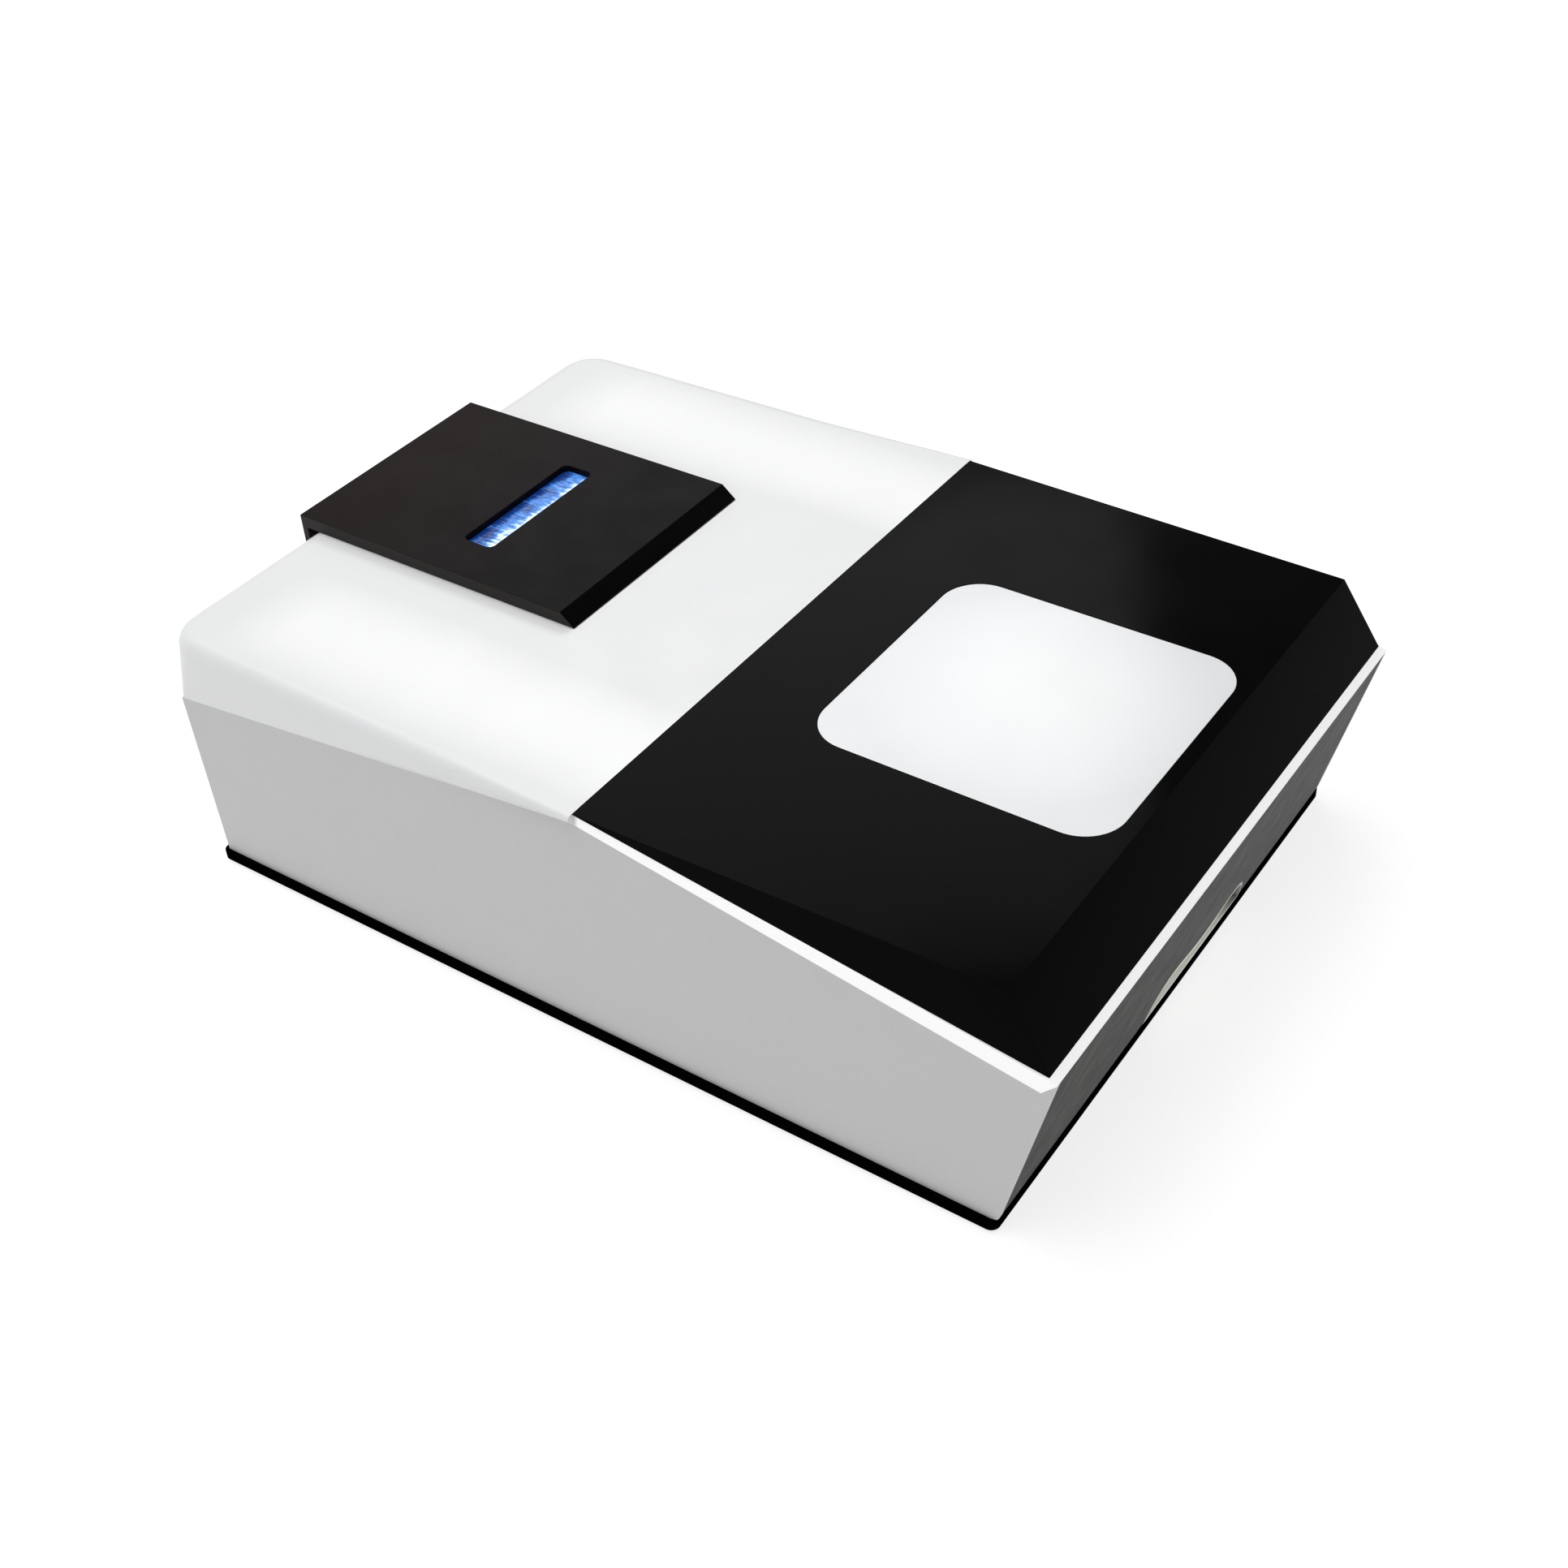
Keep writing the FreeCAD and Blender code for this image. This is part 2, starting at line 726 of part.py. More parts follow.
def lid_slot(name, gap, bottom, top):
    """The lit slot's form between two levels, smaller all round by a gap."""
    block = box(f"{name}_blank", (f"slot_left + {gap}", run(f"slot_run + {gap}"), bottom),
                (f"slot_width - 2 * {gap}", f"slot_depth - 2 * {gap}", f"{top} - ({bottom})"))
    return soften(name, block, S.slot_corner - gap, upright)


def lid_cover():
    """Black lid: a thin slab with a front bevel and a skirt down behind the case."""
    low = "top_level + lid_gap"
    outline = [
        (run("lid_front_run"), low),
        (run("lid_bevel_run"), "lid_level"),
        (run("lid_rear_run"), "lid_level"),
        (run("lid_rear_run"), "lid_skirt_level"),
        (run("lid_rear_run - lid_wall"), "lid_skirt_level"),
        (run("lid_rear_run - lid_wall"), low),
    ]
    slab = profile("lid_slab", "yz", outline, "lid_width", "lid_left")
    inside = box("lid_inside", ("lid_left + lid_wall", run("lid_bevel_run + 2.5"), "top_level"),
                 ("lid_width - 2 * lid_wall", "lid_rear_run - lid_bevel_run - 10",
                  "lid_level - lid_roof - top_level"))
    collar = lid_slot("lid_slot_collar", -S.lens_overlap, "lid_level - lid_roof - slot_sink",
                      "lid_level - lid_roof")
    slot = lid_slot("lid_slot_hole", 0, "top_level", "lid_level + 2")
    return cut("lid_cover", fuse("lid_body", [cut("lid_hollowed", slab, [inside]), collar]), [slot])


def lid_slot_lens():
    """Blue diffuser that fills the slot from below."""
    high = "lid_level - lid_roof - slot_sink"
    return lid_slot("lid_slot_lens", -S.lens_overlap, f"{high} - 2.2", high)


def lid_light_strip():
    """Lamp board under the diffuser: a strip with a row of light-emitting diodes."""
    level = "lid_level - lid_roof - slot_sink - 5.4"
    board = box("strip_board", ("slot_left", run("slot_run + 1.5"), level),
                ("slot_width", "slot_depth - 3", 1.2))
    lights = [box(f"strip_light_{i}", (f"slot_left + 4 + {10 * i}", run("slot_run + 6"),
                                       f"{level} + 1.2"), (3.5, 3.5, 1.6)) for i in range(7)]
    return fuse("lid_light_strip", [board] + lights)


def lid_liner():
    """Shallow black box under the lid that drops into the compartment and keeps light out."""
    low = "top_level - 6.6"
    high = "lid_level - lid_roof"
    outside = box("liner_outside", ("well_left + 2", run("well_run + 3"), low),
                  ("well_width - 4", "well_depth - 12", f"{high} - ({low})"))
    inside = box("liner_inside", ("well_left + 4", run("well_run + 5"), f"{low} + 2"),
                 ("well_width - 8", "well_depth - 16", "20"))
    stands = [box(f"liner_stand_{i}", (f"slot_left + 6 + {56 * i}", run("slot_run + 2"),
                                       f"{low} + 2"),
                  (4, "slot_depth - 4",
                   "lid_level - lid_roof - slot_sink - 5.4 - (top_level - 4.6)"))
              for i in range(2)]
    return fuse("lid_liner", [cut("liner_box", outside, [inside])] + stands)


def lid_gasket():
    """Rubber light seal round the compartment's mouth."""
    low = "top_level + 0.1"
    outside = box("gasket_outside", ("well_left - 6", run("well_run - 4"), low),
                  ("well_width + 12", "well_depth + 10", f"lid_level - lid_roof - ({low})"))
    inside = box("gasket_inside", ("well_left - 2", run("well_run - 1"), "top_level"),
                 ("well_width + 4", "well_depth + 3", "10"))
    return cut("lid_gasket", outside, [inside])


def knuckle_starts():
    """The left ends of the lid's two hinge knuckles."""
    return ("lid_left + 18", "lid_left + lid_width - 18 - hinge_knuckle")


def lid_hinge_arms():
    """Two arms screwed inside the lid's skirt, each ending in a bored knuckle."""
    arms = []
    for i, start in enumerate(knuckle_starts()):
        tab = box(f"arm_tab_{i}", (start, run("lid_rear_run - lid_wall - 2"), "hinge_level"),
                  ("hinge_knuckle", 2, "top_level + lid_gap - hinge_level"))
        barrel = rod(f"arm_barrel_{i}", (start, run("hinge_run"), "hinge_level"),
                     "hinge_knuckle_r", "hinge_knuckle", "x")
        bore = rod(f"arm_bore_{i}", (f"{start} - 1", run("hinge_run"), "hinge_level"),
                   "hinge_pin_r + running_gap", "hinge_knuckle + 2", "x")
        arms.append(cut(f"arm_{i}", fuse(f"arm_solid_{i}", [tab, barrel]), [bore]))
    return group("lid_hinge_arms", arms)


def hinge_brackets():
    """Brackets on the shell's rear face that hold the hinge pins."""
    shell = made("bracket_shell", rear_block())
    ears = []
    for i, start in enumerate(knuckle_starts()):
        ear = f"{start} + hinge_knuckle + hinge_gap"
        web = box(f"ear_web_{i}", (ear, run("shell_low_rear_run"),
                                   "hinge_level - hinge_knuckle_r"),
                  ("hinge_knuckle", "hinge_run - shell_low_rear_run", "2 * hinge_knuckle_r"))
        eye = rod(f"ear_eye_{i}", (ear, run("hinge_run"), "hinge_level"), "hinge_knuckle_r",
                  "hinge_knuckle", "x")
        body = fuse(f"ear_body_{i}", [web, eye])
        pin_hole = rod(f"ear_hole_{i}", (f"{ear} - 1", run("hinge_run"), "hinge_level"),
                       "hinge_pin_r", "hinge_knuckle + 2", "x")
        trimmed = doc.addObject("Part::Cut", f"ear_trimmed_{i}")
        trimmed.Base = body
        trimmed.Tool = shell
        ears.append(cut(f"ear_{i}", trimmed, [pin_hole]))
    return group("hinge_brackets", ears)


def hinge_pins():
    pins = [rod(f"hinge_pin_{i}", (start, run("hinge_run"), "hinge_level"), "hinge_pin_r",
                "2 * hinge_knuckle + hinge_gap", "x")
            for i, start in enumerate(knuckle_starts())]
    return group("hinge_pins", pins)


# ---- sample compartment --------------------------------------------------------------------

def compartment_liner():
    """Black open-topped well with two light ports and a slot in its floor for the rack."""
    outside = box("well_outside", ("well_left - well_wall", run("well_run - well_wall"),
                                   "well_level - well_wall"),
                  ("well_width + 2 * well_wall", "well_depth + 2 * well_wall",
                   "top_level - shell_wall - well_level + well_wall"))
    inside = box("well_inside", ("well_left", run("well_run"), "well_level"),
                 ("well_width", "well_depth", "top_level"))
    ports = rod("well_ports", ("well_left - 5", run("beam_run"), "beam_level"), "beam_r",
                "well_width + 10", "x")
    slot = box("well_slot", ("cell_middle - rack_half - 1.5", run("carriage_run - 2"),
                             "well_level - 5"),
               ("2 * rack_half + 3", "well_depth - 8", 10))
    return cut("compartment_liner", outside, [inside, ports, slot])


def compartment_windows():
    """Quartz windows in the two light ports."""
    panes = [rod("pane_left", ("well_left - well_wall", run("beam_run"), "beam_level"),
                 "beam_r", "well_wall", "x"),
             rod("pane_right", ("well_left + well_width", run("beam_run"), "beam_level"),
                 "beam_r", "well_wall", "x")]
    return group("compartment_windows", panes)


def guide_rods():
    rods = [rod(f"guide_{side}", (f"cell_middle + {side} * rod_spread", run("well_run"),
                                  "rod_level"), "rod_r", "well_depth", "y") for side in (-1, 1)]
    return group("guide_rods", rods)


def cell_carriage():
    """Four-cell holder sliding on two rods."""
    base = box("carriage_blank", ("cell_middle - carriage_half", run("carriage_run"),
                                  "carriage_level"),
               ("2 * carriage_half", "carriage_length", "carriage_base"))
    tower = box("carriage_tower", ("cell_middle - cell_block_half", run("carriage_run"),
                                   "carriage_level + carriage_base"),
                ("2 * cell_block_half", "carriage_length",
                 "carriage_top - carriage_level - carriage_base"))
    tools = [rod(f"carriage_bore_{side}", (f"cell_middle + {side} * rod_spread",
                                           run("carriage_run - 1"), "rod_level"),
                 "rod_r + running_gap", "carriage_length + 2", "y") for side in (-1, 1)]
    for i in range(int(S.cell_count)):
        middle = f"carriage_run + 1.5 + cell_pitch * {i + 0.5}"
        tools.append(box(f"cell_pocket_{i}", ("cell_middle - cell_side / 2",
                                              run(f"{middle} - cell_side / 2"),
                                              "carriage_level + 5"),
                         ("cell_side", "cell_side", "carriage_top")))
        tools.append(rod(f"cell_beam_{i}", ("cell_middle - carriage_half", run(middle),
                                            "beam_level"), 4, "2 * carriage_half", "x"))
    return cut("cell_carriage", fuse("carriage_solid", [base, tower]), tools)


def tooth_outline(teeth, pitch_r, module, fill=0.38):
    """Corners of one gear tooth at a time, root to tip, all the way round."""
    tip_r = pitch_r + module
    root_r = pitch_r - 1.25 * module
    step = 2 * math.pi / teeth
    root_half = fill * step * 0.72
    tip_half = fill * step * 0.26
    corners = []
    for k in range(teeth):
        middle = k * step
        for radius, turn in ((root_r, -root_half), (tip_r, -tip_half), (tip_r, tip_half),
                             (root_r, root_half)):
            corners.append((radius, middle + turn))
    return corners


def gear(teeth, pitch_r, module, thick, start=0.0):
    """A spur gear along +Z with a tooth at the start angle."""
    flat = [Vector(r * math.cos(a + start), r * math.sin(a + start), 0)
            for r, a in tooth_outline(teeth, pitch_r, module)]
    return Part.Face(Part.makePolygon(flat + flat[:1])).extrude(Vector(0, 0, thick))


def carriage_rack():
    """Rack under the carriage, reaching down through the well's floor."""
    half, level, module = S.rack_half, S.rack_pitch_level, S.tooth_module
    root = level + 1.25 * module
    pitch = math.pi * module
    first = y_of(S.carriage_run)
    body = Part.makeBox(2 * half, S.carriage_length, S.carriage_level - root,
                        Vector(S.cell_middle - half, first, root))
    teeth = []
    for k in range(-18, 8):
        middle = y_of(S.beam_run) + (k + 0.5) * pitch
        if first + 1 < middle < first + S.carriage_length - 1:
            flank = [(middle - 0.98 * module, root), (middle - 0.34 * module, level - module),
                     (middle + 0.34 * module, level - module), (middle + 0.98 * module, root)]
            corners = [Vector(S.cell_middle - half, y, z) for y, z in flank]
            face = Part.Face(Part.makePolygon(corners + corners[:1]))
            teeth.append(face.extrude(Vector(2 * half, 0, 0)))
    return made("carriage_rack", body.fuse(teeth).removeSplitter())


def pinion_axis_level():
    return S.rack_pitch_level - S.pinion_r


def changer_pinion():
    """Pinion and its shaft, driving the rack from below."""
    wheel = gear(16, S.pinion_r, S.tooth_module, 2 * S.rack_half, math.pi / 2)
    shaft = Part.makeCylinder(S.shaft_r, 16, Vector(0, 0, 2 * S.rack_half))
    whole = wheel.fuse(shaft)
    whole.rotate(Vector(), Vector(0, 0, 1), 90)
    whole.rotate(Vector(), Vector(0, 1, 0), 90)
    piece = made("changer_pinion", whole)
    piece.Placement.Base = Vector(S.cell_middle - S.rack_half, y_of(S.beam_run),
                                  pinion_axis_level())
    return piece


def changer_bracket():
    """Steel angle from the tray's floor that carries the changer's motor."""
    plate = box("changer_plate", ("cell_middle + rack_half + 2", run("beam_run - 14"),
                                  FLOOR_TOP),
                ("sheet_thick", 28, f"{PINION_AXIS} + 6"))
    foot = box("changer_foot", ("cell_middle + rack_half + 2", run("beam_run - 14"),
                                FLOOR_TOP), (26, 28, "sheet_thick"))
    hole = rod("changer_plate_hole", ("cell_middle + rack_half", run("beam_run"), PINION_AXIS),
               5, 10, "x")
    return cut("changer_bracket", fuse("changer_angle", [plate, foot]), [hole])


def stepper(name, start, along, length, bore_depth):
    """A round motor body with a blind bore for the shaft that it turns."""
    body = rod(f"{name}_body", start, "motor_r", length, along)
    hole = rod(f"{name}_bore", start, "shaft_r + running_gap", bore_depth, along)
    return cut(name, body, [hole])


def changer_motor():
    return stepper("changer_motor", ("cell_middle + rack_half + 2 + sheet_thick",
                                     run("beam_run"), PINION_AXIS),
                   "x", 24, 13)


# ---- optics --------------------------------------------------------------------------------

def optical_bench():
    """Aluminium plate on four posts that carries the light path."""
    plate = box("bench_plate", ("bench_left", run("bench_run"), "bench_level"),
                ("bench_width", "bench_depth", "bench_thick"))
    posts = []
    for i, across in enumerate(("bench_left + 9", "bench_left + bench_width - 9")):
        for j, depth in enumerate(("bench_run + 10", "bench_run + bench_depth - 10")):
            posts.append(rod(f"bench_post_{i}{j}", (across, run(depth),
                                                    FLOOR_TOP),
                             "bench_post_r", "bench_level - foot_height - base_floor"))
    return fuse("optical_bench", [plate] + posts)


def lamp_housing():
    """Sheet-metal lamp box with an exit hole and cooling slots in its roof."""
    outside = box("lamp_outside", ("lamp_box_left", run("lamp_box_run"), BENCH_TOP),
                  ("lamp_box_width", "lamp_box_depth", "lamp_box_height"))
    inside = box("lamp_inside", ("lamp_box_left + sheet_thick", run("lamp_box_run + sheet_thick"),
                                 "bench_level"),
                 ("lamp_box_width - 2 * sheet_thick", "lamp_box_depth - 2 * sheet_thick",
                  "lamp_box_height + bench_thick - sheet_thick"))
    exit_hole = rod("lamp_exit", ("lamp_box_left + 30", run("flip_run"), "wheel_level"), 7, 40,
                    "x")
    slots = [box(f"lamp_slot_{i}", ("lamp_box_left + 8", run(f"lamp_box_run + 8 + {8 * i}"),
                                    f"{BENCH_TOP} + lamp_box_height - 4"),
                 ("lamp_box_width - 16", 3, 8)) for i in range(5)]
    return cut("lamp_housing", outside, [inside, exit_hole] + slots)


def lamp(name, x, depth, base_r, base_height, bulb_r, bulb_height):
    """A lamp: a ceramic base on the bench with its bulb above."""
    base = rod(f"{name}_base", (x, run(depth), BENCH_TOP), base_r, base_height)
    bulb = rod(f"{name}_bulb", (x, run(depth), f"{BENCH_TOP} + {base_height}"), bulb_r,
               bulb_height)
    return fuse(name, [base, bulb])


def source_motor():
    """Motor standing on the bench under the source-selecting mirror."""
    body = rod("source_body", ("flip_x", run("flip_run"), BENCH_TOP), "motor_r", 18)
    hole = rod("source_bore", ("flip_x", run("flip_run"), f"{BENCH_TOP} + 6"),
               "shaft_r + running_gap", 20)
    return cut("source_motor", body, [hole])


def source_mirror():
    """Flip mirror that picks one lamp, on its own shaft."""
    shaft = rod("flip_shaft", ("flip_x", run("flip_run"), f"{BENCH_TOP} + 7"), "shaft_r", 16)
    table = rod("flip_table", ("flip_x", run("flip_run"), f"{BENCH_TOP} + 20"), 7, 3)
    plate = box("flip_plate", ("flip_x - 1.5", run("flip_run - 10"), f"{BENCH_TOP} + 22"),
                (3, 20, 24))
    return fuse("source_mirror", [shaft, table, plate])


def filter_places():
    for k in range(6):
        turn = math.radians(60 * k)
        yield (f"wheel_x + filter_circle_r * {math.cos(turn):.6f}",
               f"wheel_level + filter_circle_r * {math.sin(turn):.6f}")


def filter_wheel():
    """Wheel of six filter positions with its hub and shaft."""
    disc = rod("wheel_disc", ("wheel_x", run("wheel_run"), "wheel_level"), "wheel_r",
               "wheel_thick", "y")
    shaft = rod("wheel_shaft", ("wheel_x", run("wheel_run + 1"), "wheel_level"), "shaft_r", 14,
                "y")
    holes = [rod(f"wheel_hole_{i}", (x, run("wheel_run - 1"), z), "filter_r", "wheel_thick + 2",
                 "y") for i, (x, z) in enumerate(filter_places())]
    return cut("filter_wheel", fuse("wheel_solid", [disc, shaft]), holes)


def optical_filters():
    """Order-sorting filters in five of the wheel's six holes."""
    discs = [rod(f"filter_{i}", (x, run("wheel_run + 0.5"), z), "filter_r", 2, "y")
             for i, (x, z) in enumerate(filter_places()) if i]
    return group("optical_filters", discs)


def filter_motor():
    """Motor behind the filter wheel on a post from the bench."""
    body = rod("filter_body", ("wheel_x", run("wheel_run + wheel_thick + 2"), "wheel_level"),
               "motor_r", 16, "y")
    leg = box("filter_leg", ("wheel_x - 5", run("wheel_run + wheel_thick + 4"), BENCH_TOP),
              (10, 12, f"wheel_level - ({BENCH_TOP})"))
    hole = rod("filter_bore", ("wheel_x", run("wheel_run + wheel_thick + 1"), "wheel_level"),
               "shaft_r + running_gap", 12, "y")
    return cut("filter_motor", fuse("filter_motor_solid", [body, leg]), [hole])


def slit_plate(name, x, depth):
    """Upright plate on a foot with a narrow slit at beam height."""
    plate = box(f"{name}_plate", (f"{x} - 12", run(depth), BENCH_TOP), (24, 2, 52))
    foot = box(f"{name}_foot", (f"{x} - 12", run(depth), BENCH_TOP), (24, 10, 3))
    slit = box(f"{name}_gap", (f"{x} - 0.5", run(f"{depth} - 1"), "wheel_level - 7"), (1, 4, 14))
    return cut(name, fuse(f"{name}_solid", [plate, foot]), [slit])


def curved_mirror(name, x, depth):
    """Mirror block with a hollow front face, on a pedestal."""
    block = box(f"{name}_block", (f"{x} - 15", run(depth), f"{BENCH_TOP} + 14"), (30, 8, 38))
    stand = box(f"{name}_stand", (f"{x} - 8", run(f"{depth} - 2"), BENCH_TOP), (16, 12, 14))
    hollow = doc.addObject("Part::Sphere", f"{name}_hollow")
    bind(hollow, "Radius", 120)
    place(hollow, (x, run(f"{depth} + 8 + 118"), "wheel_level"))
    return fuse(name, [cut(f"{name}_face", block, [hollow]), stand])


def fold_mirror():
    """Small flat mirror turned to send the beam through the compartment."""
    post = rod("fold_post", ("-56", run("beam_run"), BENCH_TOP), 4, 30)
    plate = box("fold_plate", ("-56 - 5.7", run("beam_run - 4.2"), f"{BENCH_TOP} + 28"),
                (14, 2, 26), FreeCAD.Rotation(Vector(0, 0, 1), 45))
    return fuse("fold_mirror", [post, plate])


def grating_bearing():
    """Flanged bearing on the bench for the grating table's shaft."""
    ring = rod("bearing_ring", ("grating_x", run("grating_run"), BENCH_TOP), 8,
               f"sector_level - 0.4 - ({BENCH_TOP})")
    hole = rod("bearing_hole", ("grating_x", run("grating_run"), BENCH_TOP),
               "pivot_r + running_gap", 10)
    return cut("grating_bearing", ring, [hole])


def grating_table():
    """Turntable with its sector gear facing the rear, and its pivot shaft."""
    teeth = gear(int(2 * S.sector_r), S.sector_r, S.tooth_module, S.sector_thick,
                 math.pi / 2)
    half = math.radians(45)
    reach = 2 * S.sector_r
    wedge = [Vector(), Vector(reach * math.sin(-half), reach * math.cos(half), 0),
             Vector(0, 2 * reach, 0), Vector(reach * math.sin(half), reach * math.cos(half), 0)]
    sector = teeth.common(Part.Face(Part.makePolygon(wedge + wedge[:1])).extrude(
        Vector(0, 0, S.sector_thick)))
    hub = Part.makeCylinder(10, S.sector_thick)
    disc = Part.makeCylinder(S.table_r, 4, Vector(0, 0, S.sector_thick))
    drop = S.sector_level - S.bench_level - S.bench_thick - 0.3
    shaft = Part.makeCylinder(S.pivot_r, drop + 1, Vector(0, 0, -drop))
    piece = made("grating_table", sector.fuse([hub, disc, shaft]).removeSplitter())
    piece.Placement.Base = Vector(S.grating_x, y_of(S.grating_run), S.sector_level)
    return piece


def grating():
    """Ruled grating block standing on the turntable."""
    return box("grating", ("grating_x - grating_side / 2", run("grating_run - grating_thick / 2"),
                           "sector_level + sector_thick + 4"),
               ("grating_side", "grating_thick", "grating_side"))


def grating_pinion():
    """Pinion on the sector, with its shaft up into the motor."""
    teeth = 12
    wheel = gear(teeth, S.grating_pinion_r, S.tooth_module, S.sector_thick,
                 -math.pi / 2 + math.pi / teeth)
    shaft = Part.makeCylinder(S.shaft_r, 14, Vector(0, 0, S.sector_thick - 1))
    piece = made("grating_pinion", wheel.fuse(shaft).removeSplitter())
    piece.Placement.Base = Vector(S.grating_x, y_of(S.grating_run + S.sector_r
                                                    + S.grating_pinion_r), S.sector_level)
    return piece


def grating_motor():
    """Motor hung over the pinion from a post behind it."""
    middle = "grating_run + sector_r + grating_pinion_r"
    level = "sector_level + sector_thick + 3"
    body = rod("turner_body", ("grating_x", run(middle), level), 8.5, 20)
    arm = box("turner_arm", ("grating_x - 6", run(middle), f"{level} + 14"), (12, 22, 4))
    post = box("turner_post", ("grating_x - 6", run(f"{middle} + 14"), BENCH_TOP),
               (12, 8, f"{level} + 18 - ({BENCH_TOP})"))
    hole = rod("turner_bore", ("grating_x", run(middle), f"{level} - 1"),
               "shaft_r + running_gap", 12)
    return cut("grating_motor", fuse("turner_solid", [body, arm, post]), [hole])


def detector_board():
    """Detector can facing the compartment's right window, on its amplifier board."""
    can = rod("detector_can", ("well_left + well_width + well_wall + 1", run("beam_run"),
                               "beam_level"), 5, 5, "x")
    board = box("detector_plate", ("well_left + well_width + well_wall + 6",
                                   run("beam_run - 19"), "beam_level - 20"), (1.6, 38, 40))
    return fuse("detector_board", [can, board])


def detector_bracket():
    return box("detector_bracket", ("well_left + well_width + well_wall + 7.6",
                                    run("beam_run - 14"), FLOOR_TOP),
               ("sheet_thick", 28, "beam_level + 15"))


# ---- electronics and rear ------------------------------------------------------------------

def main_board():
    """Main circuit board with its chips, capacitors and connectors."""
    top = "board_level + board_thick"
    pieces = [box("board_plate", ("board_left", run("board_run"), "board_level"),
                  ("board_width", "board_depth", "board_thick"))]
    pieces += [box(f"chip_{i}{j}", (f"board_left + 10 + {22 * i}",
                                    run(f"board_run + 15 + {30 * j}"), top), (14, 14, 2.4))
               for i in range(3) for j in range(4)]
    pieces += [rod(f"capacitor_{i}", (f"board_left + 14 + {14 * i}",
                                      run("board_run + board_depth - 50"), top), 5, 14)
               for i in range(4)]
    pieces += [box(f"header_{i}", ("board_left + board_width - 9",
                                   run(f"board_run + 20 + {45 * i}"), top), (7, 26, 9))
               for i in range(4)]
    return fuse("main_board", pieces)


def board_standoffs():
    posts = [rod(f"standoff_{i}{j}", (f"board_left + 5 + {across}",
                                      run(f"board_run + 6 + {depth}"),
                                      FLOOR_TOP),
                 3, "board_level - foot_height - base_floor")
             for i, across in enumerate(("0", "board_width - 10"))
             for j, depth in enumerate(("0", "(board_depth - 12) / 2", "board_depth - 12"))]
    return group("board_standoffs", posts)


def power_supply():
    """Enclosed supply: a folded steel cage with air slots round its board."""
    low = "foot_height + base_floor"
    outside = box("supply_outside", ("supply_left", run("supply_run"), low),
                  ("supply_width", "supply_depth", "supply_height"))
    slots = [box(f"supply_slot_{i}", ("supply_left + 8", run(f"supply_run + 8 + {10 * i}"),
                                      f"{low} + supply_height - 3"),
                 ("supply_width - 16", 4, 6)) for i in range(7)]
    return cut("power_supply", outside, slots)


def fan_frame():
    """Square fan frame with a round duct and a motor mount on four struts."""
    blank = box("fan_blank", ("fan_x - fan_side / 2", run("rear_panel_run - fan_thick"),
                              "fan_level - fan_side / 2"),
                ("fan_side", "fan_thick", "fan_side"))
    duct = rod("fan_duct", ("fan_x", run("rear_panel_run - fan_thick - 1"), "fan_level"),
               "fan_hole_r", "fan_thick + 2", "y")
    ring = cut("fan_ring", blank, [duct])
    start = run("rear_panel_run - 2")
    struts = [box("fan_strut_across", ("fan_x - fan_hole_r - 0.5", start, "fan_level - 1"),
                  ("2 * fan_hole_r + 1", 2, 2)),
              box("fan_strut_up", ("fan_x - 1", start, "fan_level - fan_hole_r - 0.5"),
                  (2, 2, "2 * fan_hole_r + 1")),
              rod("fan_mount", ("fan_x", start, "fan_level"), "fan_hub_r", 2, "y")]
    hole = rod("fan_mount_hole", ("fan_x", run("rear_panel_run - 3"), "fan_level"),
               "shaft_r + running_gap", 4, "y")
    return cut("fan_frame", fuse("fan_frame_solid", [ring] + struts), [hole])


def fan_rotor():
    """Fan hub with seven pitched blades and its shaft."""
    depth = S.fan_thick - 4
    hub = Part.makeCylinder(S.fan_hub_r, depth)
    shaft = Part.makeCylinder(S.shaft_r, 2, Vector(0, 0, depth))
    blades = []
    for k in range(7):
        blade = Part.makeBox(S.fan_blade_r - S.fan_hub_r + 0.5, 1.4, depth + 4,
                             Vector(S.fan_hub_r - 1, -0.7, -2))
        blade.rotate(Vector(0, 0, depth / 2), Vector(1, 0, 0), 50)
        blade.rotate(Vector(), Vector(0, 0, 1), 360 * k / 7)
        blades.append(blade)
    sweep = Part.makeCylinder(S.fan_blade_r, depth)
    whole = hub.fuse([blade.common(sweep) for blade in blades] + [shaft]).removeSplitter()
    whole.rotate(Vector(), Vector(1, 0, 0), -90)
    piece = made("fan_rotor", whole)
    piece.Placement.Base = Vector(S.fan_x, y_of(S.rear_panel_run - 2.5) - depth + 0.2, S.fan_level)
    return piece


SOCKETS = ((24, 12.5, 11.5), (44, 14, 7))


def rear_sockets():
    """Two data sockets on the rear wall, each a shell with an open mouth and a tongue."""
    shells = []
    for i, (x, width, height) in enumerate(SOCKETS):
        blank = box(f"socket_blank_{i}", (f"{x} - {width} / 2 + 0.1",
                                          run("rear_panel_run - 12"), "socket_level + 0.1"),
                    (f"{width} - 0.2", "12.5 + rear_panel_thick", f"{height} - 0.2"))
        mouth = box(f"socket_mouth_{i}", (f"{x} - {width} / 2 + 0.9",
                                          run("rear_panel_run - 9"), "socket_level + 0.9"),
                    (f"{width} - 1.8", 20, f"{height} - 1.8"))
        tongue = box(f"socket_tongue_{i}", (f"{x} - {width} / 4", run("rear_panel_run - 9.5"),
                                            f"socket_level + {height} / 2 - 0.6"),
                     (f"{width} / 2", 5, 1.2))
        shells.append(fuse(f"socket_{i}", [cut(f"socket_shell_{i}", blank, [mouth]), tongue]))
    return group("rear_sockets", shells)


